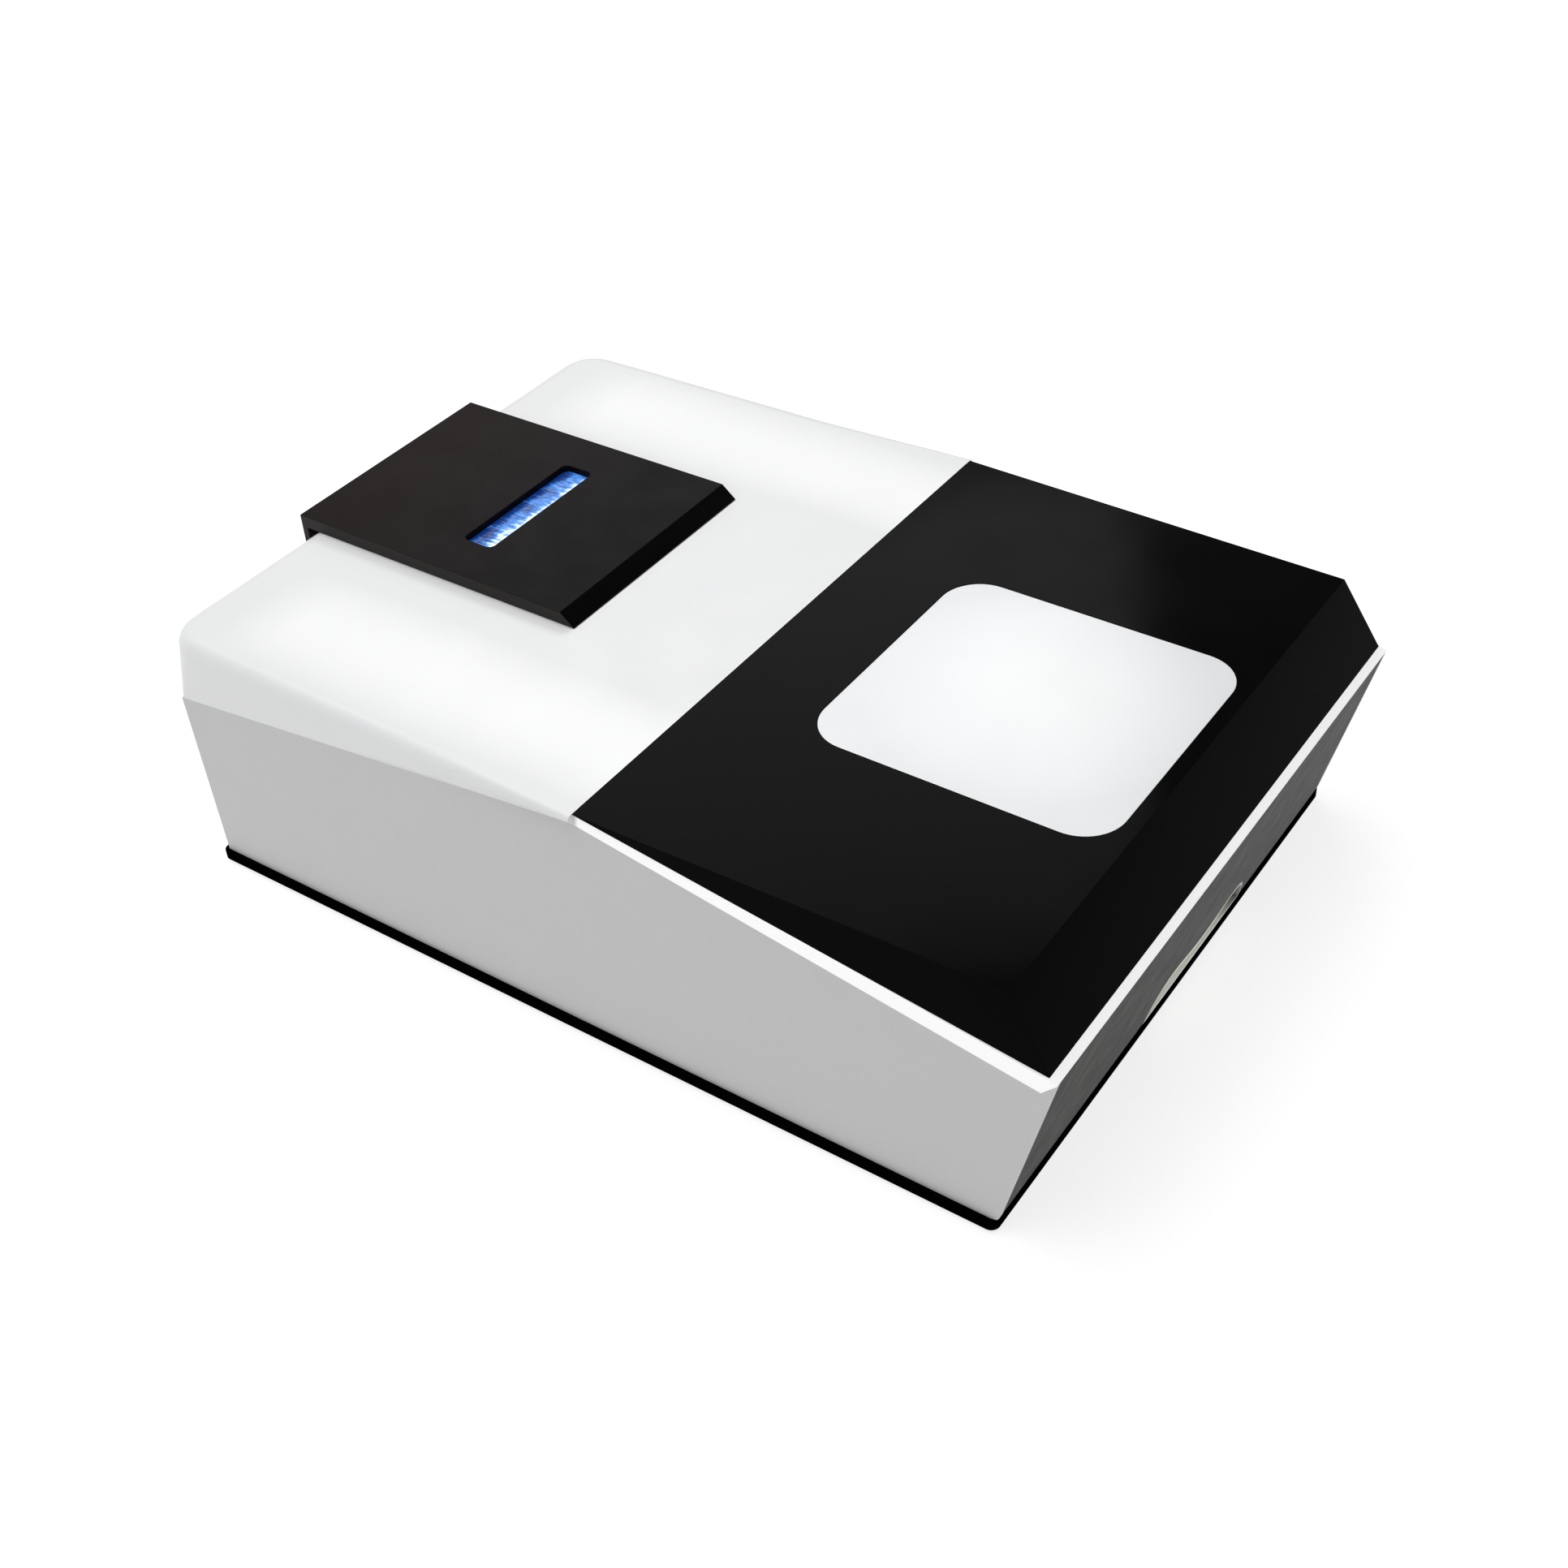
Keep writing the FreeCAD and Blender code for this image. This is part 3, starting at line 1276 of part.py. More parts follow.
def power_inlet():
    """Mains inlet: body through the rear wall, flange outside, recess with three pins."""
    body = box("inlet_body", ("inlet_x - inlet_width / 2 + 0.1", run("rear_panel_run - 18"),
                              "inlet_level - inlet_height / 2 + 0.1"),
               ("inlet_width - 0.2", "18 + rear_panel_thick", "inlet_height - 0.2"))
    flange = box("inlet_flange", ("inlet_x - inlet_width / 2 - 3",
                                  run("rear_panel_run + rear_panel_thick"),
                                  "inlet_level - inlet_height / 2 - 2"),
                 ("inlet_width + 6", 2, "inlet_height + 4"))
    recess = box("inlet_recess", ("inlet_x - 12", run("rear_panel_run - 14"),
                                  "inlet_level - 8"), (24, 30, 16))
    pins = [box(f"inlet_pin_{i}", (f"inlet_x + {across} - 1", run("rear_panel_run - 15"),
                                   f"inlet_level + {up} - 2"), (2, 12, 4))
            for i, (across, up) in enumerate(((-7, -2), (0, 2.5), (7, -2)))]
    shell = cut("inlet_shell", fuse("inlet_solid", [body, flange]), [recess])
    return fuse("power_inlet", [shell] + pins)


def switch_housing():
    """Frame of the mains switch, open at the rear, with two pivot pips."""
    body = box("switch_body", ("switch_x - switch_width / 2 + 0.1", run("rear_panel_run - 14"),
                               "inlet_level - switch_height / 2 + 0.1"),
               ("switch_width - 0.2", "14 + rear_panel_thick", "switch_height - 0.2"))
    flange = box("switch_flange", ("switch_x - switch_width / 2 - 1.5",
                                   run("rear_panel_run + rear_panel_thick"),
                                   "inlet_level - switch_height / 2 - 1.5"),
                 ("switch_width + 3", 1.5, "switch_height + 3"))
    recess = box("switch_recess", ("switch_x - switch_width / 2 + 1.2",
                                   run("rear_panel_run - 9"),
                                   "inlet_level - switch_height / 2 + 1.2"),
                 ("switch_width - 2.4", 30, "switch_height - 2.4"))
    shell = cut("switch_shell", fuse("switch_solid", [body, flange]), [recess])
    pin = rod("switch_pin", ("switch_x - switch_width / 2 + 0.5", run(ROCKER_RUN),
                             "inlet_level"), 1, "switch_width - 1", "x")
    return fuse("switch_housing", [shell, pin])


ROCKER_RUN = "rear_panel_run - 1"


def power_rocker():
    """Rocker of the mains switch, resting on its off side."""
    half_width = S.switch_width / 2 - 1.5
    half_height = S.switch_height / 2 - 2.4
    outline = [Vector(0, -2.6, -1.5), Vector(0, 2.0, -half_height), Vector(0, 4.4, -half_height),
               Vector(0, 3.4, 0), Vector(0, 4.4, half_height), Vector(0, 2.0, half_height),
               Vector(0, -2.6, 1.5)]
    body = Part.Face(Part.makePolygon(outline + outline[:1])).extrude(
        Vector(2 * half_width, 0, 0))
    body.translate(Vector(-half_width, 0, 0))
    bore = Part.makeCylinder(1 + S.running_gap, 2 * half_width + 2, Vector(-half_width - 1, 0, 0),
                             Vector(1, 0, 0))
    piece = made("power_rocker", body.cut(bore))
    piece.Placement = FreeCAD.Placement(
        Vector(S.switch_x, y_of(S.rear_panel_run - 1), S.inlet_level),
        FreeCAD.Rotation(Vector(1, 0, 0), S.rocker_tilt))
    return piece


def case_screws():
    """Screw heads that hold the rear wall and the tray."""
    rear = [rod(f"rear_screw_{i}{j}", (f"{side} * (side_half - panel_wall - 6)",
                                       run("rear_panel_run + rear_panel_thick"), level),
                "screw_r", "screw_head", "y")
            for i, side in enumerate((-1, 1))
            for j, level in enumerate(("base_level + 8", "roof_rear_level - 12"))]
    under = [rod(f"tray_screw_{i}{j}", (f"{side} * (base_half - 12)", run(depth),
                                        "foot_height - screw_head"), "screw_r", "screw_head")
             for i, side in enumerate((-1, 1))
             for j, depth in enumerate(("12", "base_depth / 2", "base_depth - 12"))]
    return group("case_screws", rear + under)


# ---- build ---------------------------------------------------------------------------------

def build():
    node("base_tray", base_tray())
    node("rubber_feet", rubber_feet())
    node("left_side_panel", side_panel("left_panel_body", "-side_half"))
    node("right_side_panel", side_panel("right_panel_body", "side_half - panel_wall"))
    node("front_panel", front_panel())
    node("front_pull_cup", front_pull_cup())
    node("rear_panel", rear_panel())
    node("upper_shell", upper_shell())
    node("glass_panel", glass_panel())
    node("display_window", display_plate("window_plate", "display_gap", "glass_wall - 0.3", 0.3))
    node("display_module", display_module())
    node("display_bracket", display_bracket())
    node("lid_cover", lid_cover())
    node("lid_slot_lens", lid_slot_lens())
    node("lid_light_strip", lid_light_strip())
    node("lid_liner", lid_liner())
    node("lid_gasket", lid_gasket())
    node("lid_hinge_arms", lid_hinge_arms())
    node("hinge_brackets", hinge_brackets())
    node("hinge_pins", hinge_pins())
    node("compartment_liner", compartment_liner())
    node("compartment_windows", compartment_windows())
    node("guide_rods", guide_rods())
    node("cell_carriage", cell_carriage())
    node("carriage_rack", carriage_rack())
    node("changer_pinion", changer_pinion())
    node("changer_bracket", changer_bracket())
    node("changer_motor", changer_motor())
    node("optical_bench", optical_bench())
    node("lamp_housing", lamp_housing())
    node("tungsten_lamp", lamp("tungsten_lamp", "lamp_box_left + 14", "lamp_box_run + 13",
                               7, 14, 5, 24))
    node("deuterium_lamp", lamp("deuterium_lamp", "lamp_box_left + 36", "lamp_box_run + 30",
                                12, 12, 10, 36))
    node("source_mirror", source_mirror())
    node("source_motor", source_motor())
    node("filter_wheel", filter_wheel())
    node("optical_filters", optical_filters())
    node("filter_motor", filter_motor())
    node("entrance_slit", slit_plate("entrance_slit", "wheel_x", "wheel_run - 18"))
    node("exit_slit", slit_plate("exit_slit", "wheel_x - 40", "wheel_run - 18"))
    node("collimator_mirror", curved_mirror("collimator_mirror", "-72", "42"))
    node("focusing_mirror", curved_mirror("focusing_mirror", "-118", "42"))
    node("fold_mirror", fold_mirror())
    node("grating_bearing", grating_bearing())
    node("grating_table", grating_table())
    node("grating", grating())
    node("grating_pinion", grating_pinion())
    node("grating_motor", grating_motor())
    node("detector_board", detector_board())
    node("detector_bracket", detector_bracket())
    node("main_board", main_board())
    node("board_standoffs", board_standoffs())
    node("power_supply", power_supply())
    node("fan_frame", fan_frame())
    node("fan_rotor", fan_rotor())
    node("rear_sockets", rear_sockets())
    node("power_inlet", power_inlet())
    node("switch_housing", switch_housing())
    node("power_rocker", power_rocker())
    node("case_screws", case_screws())


def export():
    doc.recompute()
    failed = [piece.Name for piece in doc.Objects
              if "Invalid" in piece.State or "Error" in piece.State]
    failed += [piece.Label for piece in nodes if piece.Shape.isNull() or not piece.Shape.isValid()]
    if failed:
        raise RuntimeError(f"pieces that failed: {failed}")
    os.makedirs("parts", exist_ok=True)
    for piece in nodes:
        piece.Shape.exportStep(f"parts/{piece.Label}.step")
        print(piece.Label, len(piece.Shape.Solids), round(piece.Shape.Volume, 1))


build()
export()
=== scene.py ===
import json
import math

import bpy
from mathutils import Matrix, Vector


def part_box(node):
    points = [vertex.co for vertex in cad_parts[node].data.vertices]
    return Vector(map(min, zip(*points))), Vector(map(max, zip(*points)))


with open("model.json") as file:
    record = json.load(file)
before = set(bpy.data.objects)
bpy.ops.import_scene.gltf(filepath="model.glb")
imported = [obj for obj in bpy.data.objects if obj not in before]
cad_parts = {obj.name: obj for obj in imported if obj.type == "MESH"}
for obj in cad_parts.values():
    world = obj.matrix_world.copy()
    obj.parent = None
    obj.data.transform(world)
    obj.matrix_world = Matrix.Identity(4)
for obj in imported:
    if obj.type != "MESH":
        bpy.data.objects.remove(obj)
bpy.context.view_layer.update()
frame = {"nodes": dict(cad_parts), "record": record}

nodes = frame["nodes"]
MM = 0.001
FLECK_MM = 0.7      # the fleck of the powder paints


# ---- materials -----------------------------------------------------------------------------

class Finish:
    """A material's node tree, with short calls for the nodes that the finishes repeat."""

    def __init__(self, name, colour, roughness, metallic=0.0):
        self.material = bpy.data.materials.new(name)
        self.material.use_nodes = True
        self.tree = self.material.node_tree
        self.shader = self.tree.nodes["Principled BSDF"]
        self.colour = colour
        self.roughness = roughness
        self.set("Base Color", (*colour, 1))
        self.set("Roughness", roughness)
        self.set("Metallic", metallic)

    def set(self, socket, value):
        self.shader.inputs[socket].default_value = value

    def add(self, kind):
        return self.tree.nodes.new(kind)

    def link(self, output, target):
        self.tree.links.new(output, target)

    def place(self, stretch=(1, 1, 1), turn=(0, 0, 0)):
        """The point on the piece, in metres, stretched and turned."""
        source = self.add("ShaderNodeTexCoord").outputs["Object"]
        mapping = self.add("ShaderNodeMapping")
        mapping.inputs["Scale"].default_value = stretch
        mapping.inputs["Rotation"].default_value = turn
        self.link(source, mapping.inputs["Vector"])
        return mapping.outputs["Vector"]

    def axis(self, name):
        """One coordinate of the point on the piece, in metres."""
        split = self.add("ShaderNodeSeparateXYZ")
        self.link(self.place(), split.inputs[0])
        return split.outputs[name]

    def noise(self, size_mm, detail=2.0, stretch=(1, 1, 1), turn=(0, 0, 0)):
        """Noise whose features are about size_mm across, from 0 to 1."""
        texture = self.add("ShaderNodeTexNoise")
        texture.inputs["Scale"].default_value = 1000 / size_mm
        texture.inputs["Detail"].default_value = detail
        self.link(self.place(stretch, turn), texture.inputs["Vector"])
        return texture.outputs["Fac"]

    def cells(self, size_mm):
        """Distance from the middle of the cell that the point is in, cells about size_mm across."""
        texture = self.add("ShaderNodeTexVoronoi")
        texture.inputs["Scale"].default_value = 1000 / size_mm
        self.link(self.place(), texture.inputs["Vector"])
        return texture.outputs["Distance"]

    def spread(self, value, low, high, start=0.0, end=1.0):
        """The value moved from start..end to low..high and held there."""
        spread = self.add("ShaderNodeMapRange")
        for socket, number in zip(("From Min", "From Max", "To Min", "To Max"),
                                  (start, end, low, high)):
            spread.inputs[socket].default_value = number
        self.link(value, spread.inputs["Value"])
        return spread.outputs["Result"]

    def maths(self, kind, first, second=0.0):
        """A maths node on two numbers or sockets."""
        maths = self.add("ShaderNodeMath")
        maths.operation = kind
        for socket, value in zip(maths.inputs, (first, second)):
            if isinstance(value, (int, float)):
                socket.default_value = value
            else:
                self.link(value, socket)
        return maths.outputs[0]

    def away(self, value, middle, half):
        """How far a value is from a middle, squared: 1 where it is half away."""
        offset = self.maths("ABSOLUTE", self.maths("SUBTRACT", value, middle))
        return self.maths("POWER", self.maths("DIVIDE", offset, half), 2.0)

    def mix(self, share, first, second):
        """A colour between two colours or colour sockets."""
        blend = self.add("ShaderNodeMix")
        blend.data_type = "RGBA"
        self.link(share, blend.inputs["Factor"])
        for socket, value in (("A", first), ("B", second)):
            target = [s for s in blend.inputs if s.name == socket and s.type == "RGBA"][0]
            if isinstance(value, tuple):
                target.default_value = (*value, 1)
            else:
                self.link(value, target)
        return [s for s in blend.outputs if s.type == "RGBA"][0]

    def paint(self, colour):
        self.link(colour, self.shader.inputs["Base Color"])

    def vary(self, share, amount):
        """Darken and lighten the base colour a little with a share from 0 to 1."""
        dark = tuple(c * (1 - amount) for c in self.colour)
        light = tuple(min(1.0, c * (1 + amount)) for c in self.colour)
        self.paint(self.mix(share, dark, light))

    def rough(self, share, amount):
        """Move the roughness up and down by an amount with a share from 0 to 1."""
        self.link(self.spread(share, self.roughness - amount, self.roughness + amount, 0.3, 0.7),
                  self.shader.inputs["Roughness"])

    def bump(self, height, depth_mm, before=None):
        """Raise the surface by a height from 0 to 1, on top of another bump if one is given."""
        bump = self.add("ShaderNodeBump")
        bump.inputs["Strength"].default_value = 1.0
        bump.inputs["Distance"].default_value = depth_mm * MM
        self.link(height, bump.inputs["Height"])
        if before is not None:
            self.link(before, bump.inputs["Normal"])
        self.link(bump.outputs["Normal"], self.shader.inputs["Normal"])
        return bump.outputs["Normal"]

    def glow(self, colour, strength):
        self.link(colour, self.shader.inputs["Emission Color"])
        self.set("Emission Strength", strength)


def moulded(name, colour, roughness, grain_mm=0.5, depth_mm=0.004, specular=0.5):
    """Injection-moulded plastic: fine spark-eroded grain, with slow changes in its sheen."""
    finish = Finish(name, colour, roughness)
    finish.vary(finish.noise(60, 3), 0.015)
    finish.rough(finish.noise(25, 4), 0.05)
    finish.bump(finish.noise(grain_mm, 2), depth_mm)
    finish.set("Specular IOR Level", specular)
    return finish


def shell_white():
    """White moulding with painted light: a painted highlight along the middle of each side strip,
    painted shade either side of it and towards the rear, and a glowing painted highlight on the
    glass's surround.
    """
    finish = moulded("white_plastic", (0.86, 0.862, 0.865), 0.36, 0.6, 0.003)
    # middle and half width of the painted highlight band along each side strip
    painted_highlight_middle, painted_highlight_half = 110 * MM, 34 * MM
    fade_start, fade_end = 50 * MM, 20 * MM
    _, glass_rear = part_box("glass_panel")
    _, shell_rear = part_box("upper_shell")
    # painted highlight over the glass's surround
    surround = finish.spread(finish.axis("Y"), 1.0, 0.0, glass_rear.y - 2 * MM, glass_rear.y)
    beside = finish.away(finish.maths("ABSOLUTE", finish.axis("X")), painted_highlight_middle, painted_highlight_half)
    # painted shade towards the rear of the shell
    clear_of_rear_shade = finish.spread(finish.axis("Y"), 1.0, 0.0, shell_rear.y - fade_start,
                          shell_rear.y - fade_end)
    # painted highlight along each side strip, painted shade either side of it and towards the rear
    painted_light = finish.maths("MULTIPLY", finish.spread(beside, 1.0, 0.0), clear_of_rear_shade)
    painted_light = finish.maths("ADD", painted_light, finish.spread(finish.noise(60, 3), -0.08, 0.08))
    # colour from painted shade (grey) to painted highlight (white)
    shade = finish.mix(painted_light, (0.750, 0.754, 0.760), (0.865, 0.867, 0.870))
    finish.paint(finish.mix(surround, shade, (0.94, 0.94, 0.94)))
    # the painted highlight on the glass's surround glows, though it is no lamp
    finish.glow(finish.mix(surround, (0.0, 0.0, 0.0), (1.0, 1.0, 1.0)), 0.15)
    return finish


def lid_black():
    """Black moulding with painted light: painted shade near black on its front bevel, paler to the
    rear, and a painted highlight on its left edge.
    """
    finish = moulded("lid_black", (0.0050, 0.0030, 0.0030), 0.36, 0.7, 0.01, 0.05)
    low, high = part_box("lid_cover")
    bevel_run, edge_skin = 8 * MM, 0.2 * MM
    # painted light: painted shade near black on the front bevel, paler towards the rear
    rearward = finish.spread(finish.axis("Y"), 0.0, 1.0, low.y + bevel_run, high.y)
    top = finish.mix(rearward, (0.0005, 0.0004, 0.0004), (0.0110, 0.0070, 0.0070))
    # painted highlight on the left side face
    left_edge_painted_highlight = finish.spread(finish.axis("X"), 1.0, 0.0, low.x, low.x + edge_skin)
    finish.paint(finish.mix(left_edge_painted_highlight, top, (0.030, 0.028, 0.027)))
    return finish


def recess_pale():
    """Pale moulding of the finger recess, with painted shade falling into grey towards its two
    ends.
    """
    finish = moulded("pale_plastic", (0.92, 0.92, 0.86), 0.4)
    low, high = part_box("front_pull_cup")
    left_fade, right_fade, right_end = 9 * MM, 22 * MM, 1 * MM
    # painted shade towards both ends of the recess
    left = finish.spread(finish.axis("X"), 0.35, 1.0, low.x, low.x + left_fade)
    right = finish.spread(finish.axis("X"), 1.0, 0.0, high.x - right_fade, high.x - right_end)
    cream = finish.mix(finish.noise(14, 3), (0.88, 0.88, 0.81), (0.96, 0.96, 0.91))
    # painted shade colour at the ends, cream moulding between
    finish.paint(finish.mix(finish.maths("MULTIPLY", left, right), (0.21, 0.21, 0.20), cream))
    return finish


def powder_coat(name, colour, roughness=0.55, specular=0.3, peel_mm=0.02):
    """Baked powder paint: orange peel under a fine fleck."""
    finish = Finish(name, colour, roughness)
    fleck = finish.noise(FLECK_MM, 2)
    finish.vary(fleck, 0.05)
    finish.rough(finish.noise(12, 3), 0.05)
    peel = finish.bump(finish.noise(2.2, 1.5), peel_mm)
    finish.bump(fleck, 0.004, peel)
    finish.set("Specular IOR Level", specular)
    return finish


def front_grey():
    """Dark grey powder paint of the front panel, with painted shade deepening towards the left."""
    finish = powder_coat("dark_grey_paint", (0.044, 0.044, 0.042), 0.6, 0.1, 0.005)
    low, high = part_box("front_panel")
    # painted shade, deeper towards the left and lifting towards the right
    rightward_painted_light = finish.spread(finish.axis("X"), 0.0, 1.0, low.x, high.x)
    fleck = finish.spread(finish.noise(FLECK_MM, 2), -0.08, 0.08)
    finish.paint(finish.mix(finish.maths("ADD", rightward_painted_light, fleck), (0.033, 0.033, 0.031),
                            (0.052, 0.052, 0.052)))
    return finish


def metal(name, colour, roughness, stretch=(1, 40, 1), grain_mm=8.0):
    """Bare metal with the fine parallel marks of its finishing."""
    finish = Finish(name, colour, roughness, 1.0)
    lines = finish.noise(grain_mm, 3, stretch)
    finish.vary(lines, 0.08)
    finish.rough(lines, 0.08)
    finish.bump(lines, 0.004)
    return finish


def rubber(name, colour):
    """Dull rubber with a rough skin."""
    finish = Finish(name, colour, 0.85)
    finish.vary(finish.noise(3, 3), 0.15)
    finish.bump(finish.noise(0.6, 3), 0.02)
    return finish


def black_glass():
    """Polished black acrylic: dark, with the faintest smears in its gloss."""
    finish = Finish("black_glass", (0.0008, 0.0009, 0.0010), 0.13)
    smears = finish.noise(45, 4)
    finish.rough(smears, 0.04)
    finish.paint(finish.mix(smears, (0.0005, 0.0005, 0.0007), (0.0011, 0.0011, 0.0013)))
    finish.bump(finish.noise(70, 1), 0.01)
    finish.set("Specular IOR Level", 0.02)
    return finish


def display_white():
    """Blank lit screen in near white, with a painted highlight a little to the right of its middle
    and painted shade towards its edges.
    """
    low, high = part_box("display_window")
    # the painted highlight is moved to the right, where less light falls
    to_right = 8 * MM
    middle = (low + high) / 2 + Vector((to_right, 0, 0))
    half = (high - low) / 2
    finish = Finish("display_white", (0.80, 0.81, 0.83), 0.22)
    # painted highlight at the middle, painted shade towards the edges, in colour and glow alike
    edge = finish.maths("ADD", finish.away(finish.axis("X"), middle.x, half.x),
                        finish.away(finish.axis("Y"), middle.y, half.y))
    painted_light = finish.mix(finish.spread(edge, 0.0, 1.0, 0.05, 1.2), (0.795, 0.80, 0.805),
                      (0.690, 0.705, 0.720))
    finish.paint(painted_light)
    finish.glow(painted_light, 0.04)
    finish.rough(finish.noise(30, 3), 0.03)
    finish.bump(finish.noise(0.35, 0), 0.001)
    return finish


def slot_blue():
    """Diffuser lit from below: deep blue at the rear, breaking into icy light at the front."""
    low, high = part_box("lid_slot_lens")
    finish = Finish("slot_blue", (0.02, 0.10, 0.45), 0.25)
    margin = 2.5 * MM
    across = finish.spread(finish.axis("Y"), 0.86, 0.0, low.y + margin, high.y - margin)
    swirl = finish.spread(finish.noise(11, 4, (1, 1.5, 1), (0, 0, 0.5)), -0.5, 0.5, 0.3, 0.7)
    teeth = finish.spread(finish.noise(3.2, 3, (2.0, 0.45, 1), (0, 0, 0.2)), -0.5, 0.5, 0.3, 0.7)
    icy = finish.maths("ADD", finish.maths("MULTIPLY", swirl, 0.60),
                       finish.maths("MULTIPLY", teeth, 0.40))
    icy = finish.maths("ADD", icy, across)
    mild = finish.mix(finish.spread(icy, 0.0, 1.0, 0.10, 0.52), (0.003, 0.022, 0.13),
                      (0.045, 0.20, 0.60))
    bright = finish.mix(finish.spread(icy, 0.0, 1.0, 0.50, 0.88), mild, (0.74, 0.85, 1.0))
    finish.paint(bright)
    finish.glow(bright, 0.75)
    finish.bump(icy, 0.4)
    return finish


def circuit_board():
    """Green solder resist, paler over the tracks, with small tinned spots."""
    finish = Finish("circuit_board", (0.012, 0.10, 0.045), 0.35)
    bricks = finish.add("ShaderNodeTexBrick")
    finish.link(finish.place(), bricks.inputs["Vector"])
    bricks.inputs["Scale"].default_value = 160.0
    bricks.inputs["Mortar Size"].default_value = 0.012
    bricks.inputs["Color1"].default_value = (0.010, 0.085, 0.035, 1)
    bricks.inputs["Color2"].default_value = (0.014, 0.11, 0.05, 1)
    bricks.inputs["Mortar"].default_value = (0.05, 0.24, 0.09, 1)
    speck = finish.spread(finish.cells(6), 1.0, 0.0, 0.12, 0.16)
    finish.paint(finish.mix(speck, bricks.outputs["Color"], (0.55, 0.50, 0.38)))
    finish.bump(bricks.outputs["Fac"], 0.03)
    return finish


def lamp_glass():
    """Pale ceramic foot below a clear envelope, told apart by height."""
    finish = Finish("lamp_glass", (0.85, 0.86, 0.84), 0.2)
    low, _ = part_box("tungsten_lamp")
    foot_top, glass_foot = 13.5 * MM, 14.5 * MM
    share = finish.spread(finish.axis("Z"), 0.0, 1.0, low.z + foot_top, low.z + glass_foot)
    speckle = finish.mix(finish.noise(1.2, 3), (0.62, 0.60, 0.55), (0.78, 0.76, 0.70))
    finish.paint(finish.mix(share, speckle, (0.80, 0.85, 0.88)))
    finish.link(finish.spread(share, 0.0, 0.85), finish.shader.inputs["Transmission Weight"])
    finish.link(finish.spread(share, 0.6, 0.05), finish.shader.inputs["Roughness"])
    return finish


def clear_glass(name, colour):
    """Clear glass, with the faintest changes in its polish."""
    finish = Finish(name, colour, 0.02)
    finish.set("Transmission Weight", 0.9)
    finish.set("IOR", 1.46)
    finish.rough(finish.noise(6, 3), 0.015)
    finish.vary(finish.noise(9, 2), 0.02)
    return finish


def filter_glass():
    """Tinted filters, each of its own colour round the wheel."""
    finish = clear_glass("filter_glass", (0.8, 0.5, 0.2))
    low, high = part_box("optical_filters")
    share = finish.spread(finish.axis("X"), 0.0, 1.0, low.x, high.x)
    other = finish.spread(finish.axis("Z"), 0.0, 1.0, low.z, high.z)
    warm = finish.mix(share, (0.85, 0.30, 0.08), (0.90, 0.75, 0.15))
    finish.paint(finish.mix(other, warm, (0.25, 0.65, 0.45)))
    return finish


def mirror(name, colour, radian_mm=None):
    """Front-coated mirror. A grating has upright ripples, each radian of them radian_mm long,
    and a painted diffraction reflection whose tint changes across it."""
    finish = Finish(name, colour, 0.05, 1.0)
    finish.vary(finish.noise(15, 3), 0.02)
    finish.rough(finish.noise(8, 4), 0.03)
    if radian_mm:
        waves = finish.add("ShaderNodeTexWave")
        node_rate = 20      # radians of ripple in each unit of length, at a scale of 1
        waves.inputs["Scale"].default_value = 1000 / radian_mm / node_rate
        finish.link(finish.place(), waves.inputs["Vector"])
        finish.bump(waves.outputs["Fac"], 0.01)
        # painted reflection: diffraction colours changing across the grating
        painted_sheen_start, painted_sheen_end = -110 * MM, -80 * MM
        share = finish.spread(finish.axis("X"), 0.0, 1.0, painted_sheen_start, painted_sheen_end)
        finish.paint(finish.mix(share, (0.60, 0.45, 0.75), (0.45, 0.75, 0.60)))
    return finish


def zinc():
    """Zinc-plated sheet: patches of crystal with their own sheen."""
    finish = Finish("zinc_steel", (0.55, 0.56, 0.58), 0.35, 1.0)
    patches = finish.cells(7)
    finish.vary(patches, 0.12)
    finish.rough(patches, 0.10)
    finish.bump(finish.noise(1.0, 2), 0.006)
    return finish


def anodised(name, colour):
    """Anodised aluminium: satin, slightly mottled."""
    finish = Finish(name, colour, 0.45, 0.6)
    finish.vary(finish.noise(2, 3), 0.12)
    finish.rough(finish.noise(20, 3), 0.06)
    finish.bump(finish.noise(0.4, 2), 0.006)
    return finish


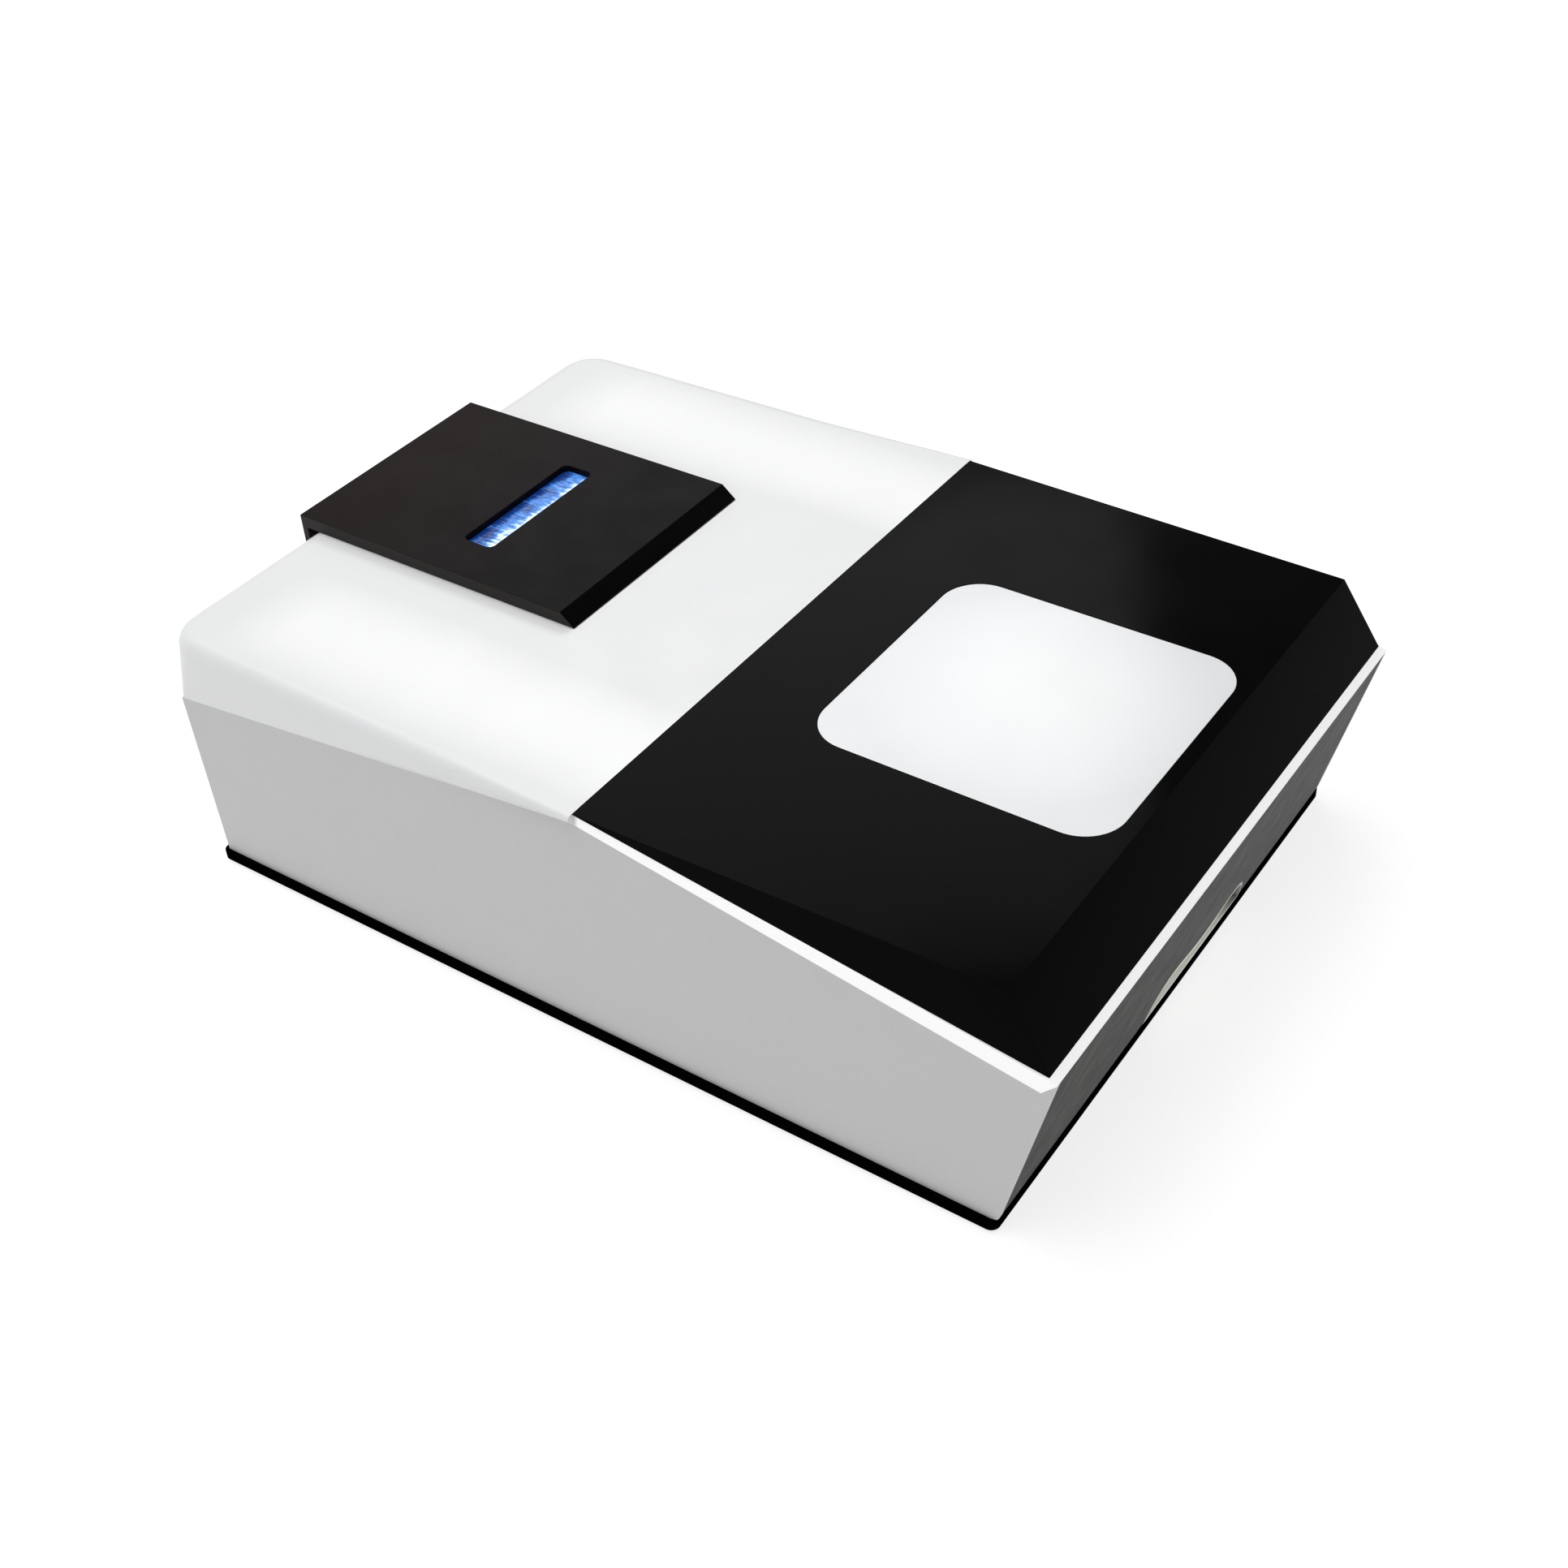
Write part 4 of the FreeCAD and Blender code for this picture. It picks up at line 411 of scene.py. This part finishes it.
def finishes():
    """One finish per material slot of the record."""
    grey = 0.56
    return {
        "white_plastic": shell_white(),
        "light_grey_paint": powder_coat("light_grey_paint", (grey, grey, grey * 1.01), 0.5),
        "dark_grey_paint": front_grey(),
        "rear_grey_paint": powder_coat("rear_grey_paint", (0.30, 0.30, 0.305), 0.55),
        "black_tray_paint": powder_coat("black_tray_paint", (0.0008, 0.0008, 0.0008), 0.8, 0.0),
        "foot_rubber": rubber("foot_rubber", (0.015, 0.015, 0.015)),
        "pale_plastic": recess_pale(),
        "black_glass": black_glass(),
        "display_white": display_white(),
        "display_dark": moulded("display_dark", (0.03, 0.03, 0.035), 0.5),
        "zinc_steel": zinc(),
        "lid_black": lid_black(),
        "slot_blue": slot_blue(),
        "circuit_board": circuit_board(),
        "well_black": moulded("well_black", (0.012, 0.012, 0.012), 0.6, 0.8, 0.012),
        "seal_rubber": rubber("seal_rubber", (0.02, 0.02, 0.02)),
        "hinge_black": powder_coat("hinge_black", (0.02, 0.02, 0.02)),
        "polished_steel": metal("polished_steel", (0.62, 0.63, 0.64), 0.16, (30, 1, 30)),
        "quartz": clear_glass("quartz", (0.95, 0.97, 0.98)),
        "anodised_black": anodised("anodised_black", (0.02, 0.02, 0.023)),
        "gear_nylon": moulded("gear_nylon", (0.70, 0.68, 0.62), 0.45),
        "motor_steel": metal("motor_steel", (0.42, 0.42, 0.43), 0.3),
        "bench_aluminium": metal("bench_aluminium", (0.70, 0.71, 0.72), 0.32, (1, 30, 1)),
        "brass": metal("brass", (0.72, 0.52, 0.22), 0.25, (1, 1, 20)),
        "lamp_glass": lamp_glass(),
        "mirror_coat": mirror("mirror_coat", (0.88, 0.89, 0.90)),
        "grating_coat": mirror("grating_coat", (0.7, 0.7, 0.75), 0.8),
        "filter_glass": filter_glass(),
        "fan_plastic": moulded("fan_plastic", (0.02, 0.02, 0.022), 0.45),
        "socket_metal": metal("socket_metal", (0.60, 0.60, 0.59), 0.25),
        "inlet_plastic": moulded("inlet_plastic", (0.018, 0.018, 0.018), 0.42),
    }


def dress(looks):
    """Give every CAD node the finish of its material slot."""
    for row in frame["record"]["subparts"]:
        mesh = nodes[row["node"]].data
        mesh.materials.clear()
        mesh.materials.append(looks[row["material_slot"]].material)


# ---- edges ---------------------------------------------------------------------------------

EDGE = 0.35 * MM
EDGE_ANGLE = 28         # degrees; a flatter edge stays as it is
SAME_POINT = 0.002 * MM
SOFTENED = ("lid_cover", "glass_panel", "base_tray", "front_panel", "rear_panel",
            "left_side_panel", "right_side_panel", "lid_liner", "carriage_rack")


def soften(name):
    """Break a CAD node's sharp edges, as moulding and painting do."""
    piece = nodes[name]
    weld = piece.modifiers.new("weld", "WELD")
    weld.merge_threshold = SAME_POINT
    bevel = piece.modifiers.new("bevel", "BEVEL")
    bevel.width = EDGE
    bevel.segments = 3
    bevel.limit_method = "ANGLE"
    bevel.angle_limit = math.radians(EDGE_ANGLE)
    bevel.harden_normals = True
    bevel.use_clamp_overlap = True


# ---- stage ---------------------------------------------------------------------------------

LIT_POINT = Vector((0, 0, 0.1))
SURROUND_LIGHT = 0.42
FLOOR_HALF = 6.0
FLOOR_GLOW = 0.80


def softbox(name, place, width, height, power):
    """A soft area light that faces the object."""
    light = bpy.data.lights.new(name, "AREA")
    light.shape = "RECTANGLE"
    light.size = width
    light.size_y = height
    light.energy = power
    lamp = bpy.data.objects.new(name, light)
    lamp.location = place
    lamp.rotation_euler = (LIT_POINT - Vector(place)).to_track_quat("-Z", "Y").to_euler()
    bpy.context.scene.collection.objects.link(lamp)


def studio():
    """Pale floor, even surrounding light and soft boxes above and behind."""
    world = bpy.data.worlds.new("studio")
    world.use_nodes = True
    background = world.node_tree.nodes["Background"]
    background.inputs["Color"].default_value = (1, 1, 1, 1)
    background.inputs["Strength"].default_value = SURROUND_LIGHT
    bpy.context.scene.world = world
    softbox("overhead", (-0.3, 0.5, 1.9), width=2.0, height=1.6, power=27)
    softbox("rear_right", (1.35, 1.0, 1.5), width=1.1, height=0.7, power=6)

    mesh = bpy.data.meshes.new("floor")
    half = FLOOR_HALF
    mesh.from_pydata([(-half, -half, 0), (half, -half, 0), (half, half, 0), (-half, half, 0)],
                     [], [(0, 1, 2, 3)])
    floor = bpy.data.objects.new("floor", mesh)
    bpy.context.scene.collection.objects.link(floor)
    paper = Finish("floor_paper", (0.30, 0.30, 0.30), 0.9)
    paper.vary(paper.noise(400, 2), 0.01)
    paper.set("Specular IOR Level", 0.0)
    paper.set("Emission Color", (1, 1, 1, 1))
    paper.set("Emission Strength", FLOOR_GLOW)
    mesh.materials.append(paper.material)


def camera():
    """The viewpoint: in front of the left corner, looking down on the lid and the panel."""
    place = Vector((-0.6003, -0.4425, 0.6418))
    aim = Vector((-0.0291, -0.0255, 0.0600))
    roll = math.radians(-3.15)
    lens = bpy.data.cameras.new("camera")
    lens.sensor_width = 36.0
    lens.lens = 48.217
    lens.clip_start = 0.01
    eye = bpy.data.objects.new("camera", lens)
    turn = (aim - place).to_track_quat("-Z", "Y").to_matrix() @ Matrix.Rotation(roll, 3, "Z")
    eye.matrix_world = Matrix.Translation(place) @ turn.to_4x4()
    bpy.context.scene.collection.objects.link(eye)
    bpy.context.scene.camera = eye


bpy.context.scene.view_settings.view_transform = "Standard"
dress(finishes())
for name in SOFTENED:
    soften(name)
studio()
camera()
